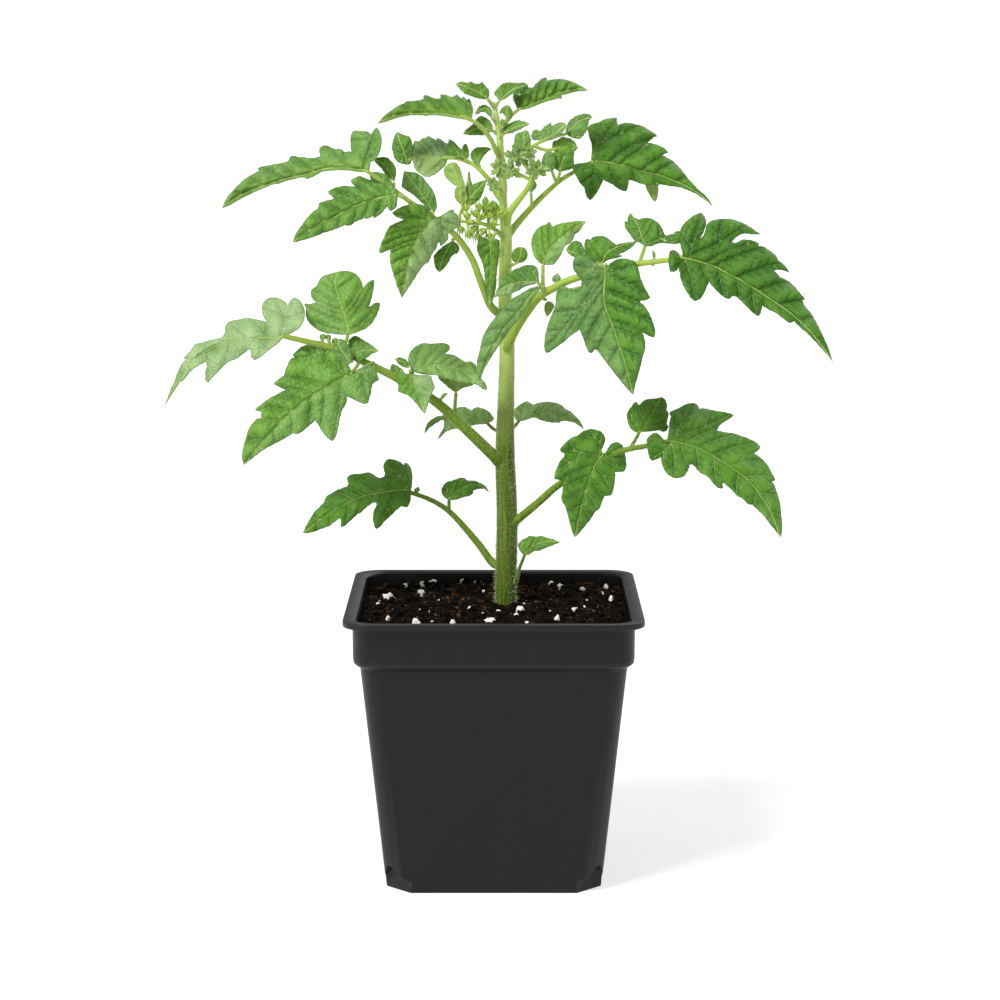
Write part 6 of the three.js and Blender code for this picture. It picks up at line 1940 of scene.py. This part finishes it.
# %% Crown leaflets
CROWN_LEAFLETS = [
    leaflet("488,99 478,92 466,87 456,84",
            "489,94 488,89 485,86 482,82 479,84 475,84 472,82 467,83 461,82",
            "483,99 477,98 472,96 466,94 461,90",
            stalk="496,110,0 490,102,-2 488,99,-3", depth=-3, lean=0, roll=0.8),
    leaflet("500,101 506,95 514,89 526,85.5",
            "496.7,97 494.2,93.7 496,90.5 499,87 502,84.5 505.5,83 511,83 518,83.3 523,84",
            "505,98.5 510,95 514,92.5 520,89",
            stalk="495,108,0 499,101,2", depth=2, lean=0.2, roll=0.8),
    leaflet("493,131 480,128 463,134",
            "492,125 490,121 486,118 481,116 477,119 474,123 470,127 466,130",
            "488,133 484,135 477,135 470,135",
            stalk="499,135,0 493,131,-1", depth=-1, lean=0.1, roll=0.4),
    leaflet("492,118 486,108 475,114",
            "492,112 489,107 484,105 479,107 477,110",
            "488,115 485,112 481,112 478,114",
            stalk="497,124,0 492,118,-3", depth=-3, lean=0, roll=0.4),
    leaflet("503,134 511,129.5 519,126 529.3,124",
            "503.8,129.5 504.6,127 509,124 513.3,122 517.5,120.3 521,121 525,122",
            "506.7,133.7 511.7,132.8 516,131 521,128.7 525,126.2",
            stalk="499,139,0 503,134,-4", depth=-4, lean=-0.1, roll=0.7),
    leaflet("508,120 506.5,113 508,105",
            "506,118 504.5,114.5 501.5,112.5 499.5,114 501,109.5 503.5,107 505.5,106",
            "511,118.7 513,115.3 512,111 510,107",
            stalk="498,128,0 503,123,-3 507,119,-4", depth=-4, lean=0.2, roll=0),
    leaflet("517,263 520,256 521,247",
            "513,261 511.5,256 513,251 517,247.5",
            "523,262 527,258 527.3,252.5 525,248.3",
            stalk="505,268,0 512,265,-4 519,262,-5", depth=-5, lean=0.2, roll=0),
    leaflet("503,126 502.5,122 501.5,118.5",
            "501,125 500.5,121.5",
            "505.3,124.5 504.8,120.5",
            stalk="499,130,0 501,128,-3 503,126,-4", depth=-4, lean=0.1, roll=0),
]
print("Crown leaflets:", len(CROWN_LEAFLETS))

# %% [markdown]
# The youngest leaves are too small and close to be drawn one by one. A tuft of them is worked out instead:
# they stand round a small core, turned by even steps with a little chance in each. The chance comes from the
# same row of numbers that the CAD model draws from, so both have the same tufts.

# %% Tufts of young leaves
TUFT_LEAN = 0.9
TUFT_TONE = 0.8
TUFT_DOWN_AND_SHEEN = 0.15
TUFT_CURL = -1.5
TUFT_LAYERS = 0.8
TUFT_CHANCE = 0.5
# Shortest share of the tuft's reach, and what chance adds.
TUFT_LENGTHS = (0.75, 0.4)
TUFT_CORE = 0.02
# The edge of a young leaf: shares of its length, each with its turn from the rib in radians.
TUFT_EDGE = [(0.3, 0.6), (0.5, 0.52), (0.55, 0.32), (0.76, 0.32), (0.8, 0.16)]
# Two leaves stand in each place: which one, and its share of the length.
TUFT_PAIR = [(0, 1.0), (1, 0.62)]


def random_row(seed):
    """The same row of random numbers that the CAD model draws its tufts from."""
    state = seed
    while True:
        state = (state * 1664525 + 1013904223) % 4294967296
        yield state / 4294967296


def tuft_leaflets(tuft):
    draw = random_row(tuft["seed"])
    column, row, depth = tuft["place"]
    leaflets = []
    for number in range(tuft["count"]):
        angle = (number + TUFT_CHANCE * next(draw)) / tuft["count"] * 2 * math.pi
        length = tuft["reach"] * (TUFT_LENGTHS[0] + TUFT_LENGTHS[1] * next(draw))
        lean, roll = TUFT_LEAN * (next(draw) - 0.5), TUFT_LEAN * (next(draw) - 0.5)
        for small, share in TUFT_PAIR:
            heading = angle + small * math.pi / tuft["count"]

            def along(part, turn):
                reach = length * share * part
                return (column + reach * math.cos(heading + turn), row - reach * math.sin(heading + turn))

            leaflets.append({
                "rib": [along(TUFT_CORE, 0), along(0.5, 0), along(1, 0)],
                "edges": [[along(part, turn) for part, turn in TUFT_EDGE],
                          [along(part, -turn) for part, turn in TUFT_EDGE]],
                "depth": depth + (TUFT_LAYERS if number % 2 else -TUFT_LAYERS) - 2 * TUFT_LAYERS * small,
                "lean": lean, "roll": roll, "curl": TUFT_CURL * small, "tone": TUFT_TONE, "bloom": TUFT_DOWN_AND_SHEEN,
            })
    return leaflets


# %% [markdown]
# A flower bud is closed and pointed, on a thin stalk, with five narrow sepals that stand off round it.

# %% Flower buds
BUD_LENGTH = (-1.7, 2.6)
BUD_RADII = np.array([0.35, 1.0, 1.35, 1.5, 1.5, 1.4, 1.2, 0.95, 0.7, 0.42, 0.12])
BUD_STALK = (0.5, 0.45)
BUD_DROOP = 0.4
SEPALS = 5
SEPAL_STEP = 0.6
SEPAL_START = [0.3, 0.9, 0.1]
SEPAL_RADII = (0.5, 0.08)
# A sepal from its base to its tip: how far each place is out from the middle of the bud and up from it.
SEPAL_KEYS = [(0, -1.4), (1.6, 0), (2.3, 2.2), (2.6, 3.9)]


def bud_parts(bud, petiole):
    """The stalk, body and sepals of a bud as runs for tubes."""
    centre = seen_line([bud])[0]
    roots = seen_line(petiole[1:])
    root = roots[np.argmin(np.linalg.norm(roots - centre, axis=1))]
    up = (centre - root) / np.linalg.norm(centre - root)
    stalk = smooth_line([root, (root + centre) / 2 + [0, 0, -BUD_DROOP], centre], 1)
    body = np.array([centre + up * step for step in np.linspace(*BUD_LENGTH, len(BUD_RADII))])
    parts = [(stalk, np.linspace(*BUD_STALK, len(stalk))), (body, BUD_RADII)]
    side = np.cross(up, SEPAL_START)
    side /= np.linalg.norm(side)
    for number in range(SEPALS):
        angle = number * 2 * math.pi / SEPALS
        out = math.cos(angle) * side + math.sin(angle) * np.cross(up, side)
        sepal = smooth_line([centre + out * away + up * rise for away, rise in SEPAL_KEYS], SEPAL_STEP)
        parts.append((sepal, tapered(sepal, *SEPAL_RADII)))
    return parts


print("A bud has", 2 + SEPALS, "parts")

# %% [markdown]
# Each leaf becomes three pieces: its blades in one mesh, its stalks, and its midribs, which are a little
# paler. All three stand for the one CAD node. Older leaves are deeper green, and young ones have finer teeth.

# %% Build the leaves
# How young and yellow each leaf is, from 0 to 1.
TONES = {
    "leaf_low_left": 0.0, "leaf_low_right": 0.05, "leaf_at_base": 0.2, "leaf_mid_left": 0.12,
    "leaf_behind_stem": 0.3, "leaf_mid_right": 0.0, "leaf_upper_right": 0.0, "leaf_upper_left": 0.1,
    "leaf_left_under_top": 0.15, "leaf_top_left": 0.1, "leaf_top_right": 0.0, "side_shoot": 0.55,
    "flower_truss": 0.5,
}
# Height and length of the small teeth along the edges, in units of the front view.
PLAIN_TEETH = (0.4, 6.5)
TEETH = {
    "leaf_left_under_top": (0.35, 4.5), "leaf_top_left": (0.3, 4.5), "leaf_top_right": (0.3, 4.5),
    "side_shoot": (0.7, 4.0), "flower_truss": (0.5, 4.5), "leaf_at_base": (0.5, 5.0),
}
TUFT_STALK = 0.8
EDGE_RADIUS = 0.16
SEED_STEP = 10
downy = []


def edge_runs(blades):
    """The edges of blades as thin round lines, for the down on them."""
    return [(blade["outline"], np.full(len(blade["outline"]), EDGE_RADIUS)) for blade in blades]


for number, leaf in enumerate(LEAVES):
    name, tone = leaf["name"], TONES[leaf["name"]]
    leaflets = leaf["leaflets"] + [young for tuft in leaf["tufts"] for young in tuft_leaflets(tuft)]
    teeth = TEETH.get(name, PLAIN_TEETH)
    blades = [make_blade(each, tone, teeth, SEED_STEP * number + index)
              for index, each in enumerate(leaflets)]
    stalks, ribs = leaf_runs({**leaf, "leaflets": leaflets}, blades)
    for tuft in leaf["tufts"]:
        stalk = smooth_line(seen_line([tuft["stalk"], tuft["place"]]), STALK_STEP)
        stalks.append((stalk, tapered(stalk, TUFT_STALK, TUFT_STALK)))
    buds = [part for bud in leaf["buds"] for part in bud_parts(bud, leaf["petiole"])]
    finish_piece(blade_piece("blades", blades), name + "_blades", (), [name])
    finish_piece(tubes("stalks", stalks + buds, 2), name + "_stalks", [STALK_SKIN], [name])
    finish_piece(tubes("ribs", ribs, 1), name + "_ribs", [RIB_SKIN], [name])
    downy.append({"stalks": stalks, "ribs": ribs, "edges": edge_runs(blades), "tone": tone})

# %% Build the stem and its crown
CROWN_TONE = 0.25
CROWN_TEETH = (0.5, 4.0)
CROWN_SEED = 200
CROWN_RADII = (0.7, 0.7)
crown_blades = [make_blade(each, CROWN_TONE, CROWN_TEETH, CROWN_SEED + index)
                for index, each in enumerate(CROWN_LEAFLETS)]
crown = {"petiole": CROWN_LEAFLETS[0]["stalk"], "radii": CROWN_RADII, "leaflets": CROWN_LEAFLETS}
crown_stalks, crown_ribs = leaf_runs(crown, crown_blades)
finish_piece(tubes("stem", [(stem_line, stem_radius)], 6), "main_stem_skin", [STEM_SKIN],
             ["main_stem"])
finish_piece(blade_piece("crown", crown_blades), "crown_blades", (), ["main_stem"])
finish_piece(tubes("crown_stalks", crown_stalks, 2), "crown_stalks", [STALK_SKIN],
             ["main_stem"])
finish_piece(tubes("crown_ribs", crown_ribs, 1), "crown_ribs", [RIB_SKIN], ["main_stem"])

# %% [markdown]
# Hairs are longest and closest at the foot of the stem, and a fine down covers the stalks, ribs, crown and
# the edges of the blades. Young parts are the downiest.

# %% Hairs on stem and stalks
FOOT_TOP = 175
UPPER_FROM = 173
YOUNG_TONE = 0.4


def down_on(part, plain, young, short, long, seed):
    """Down on one part of every leaf, with hairs per millimetre on plain and on young leaves."""
    return [hairs_along(leaf[part], plain if leaf["tone"] < YOUNG_TONE else young, short, long, seed + index)
            for index, leaf in enumerate(downy)]


foot = (stem_line[:, 2] > SOIL_EDGE) & (stem_line[:, 2] < FOOT_TOP)
upper = stem_line[:, 2] >= UPPER_FROM
hair_piece("stem_hairs", [
    hairs_along([(stem_line[foot], stem_radius[foot])], per_mm=34, short=1.0, long=2.4, seed=31),
    hairs_along([(stem_line[upper], stem_radius[upper])], per_mm=40, short=0.6, long=1.6, seed=32),
])
hair_piece("stalk_hairs", [
    *down_on("stalks", plain=18, young=26, short=0.4, long=1.0, seed=40),
    hairs_along(crown_stalks, per_mm=30, short=0.4, long=0.9, seed=60),
])
hair_piece("rib_hairs", [
    *down_on("ribs", plain=5, young=14, short=0.25, long=0.65, seed=70),
    hairs_along(crown_ribs, per_mm=14, short=0.3, long=0.7, seed=90),
])
hair_piece("edge_hairs", [
    *down_on("edges", plain=2.2, young=5, short=0.25, long=0.6, seed=100),
    hairs_along(edge_runs(crown_blades), per_mm=5, short=0.25, long=0.6, seed=100 + len(downy)),
])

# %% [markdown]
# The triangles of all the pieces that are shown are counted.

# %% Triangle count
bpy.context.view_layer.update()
triangles = sum(len(piece.data.loops) - 2 * len(piece.data.polygons)
                for piece in bpy.data.objects if piece.type == "MESH" and not piece.hide_render)
print("Triangles:", triangles)
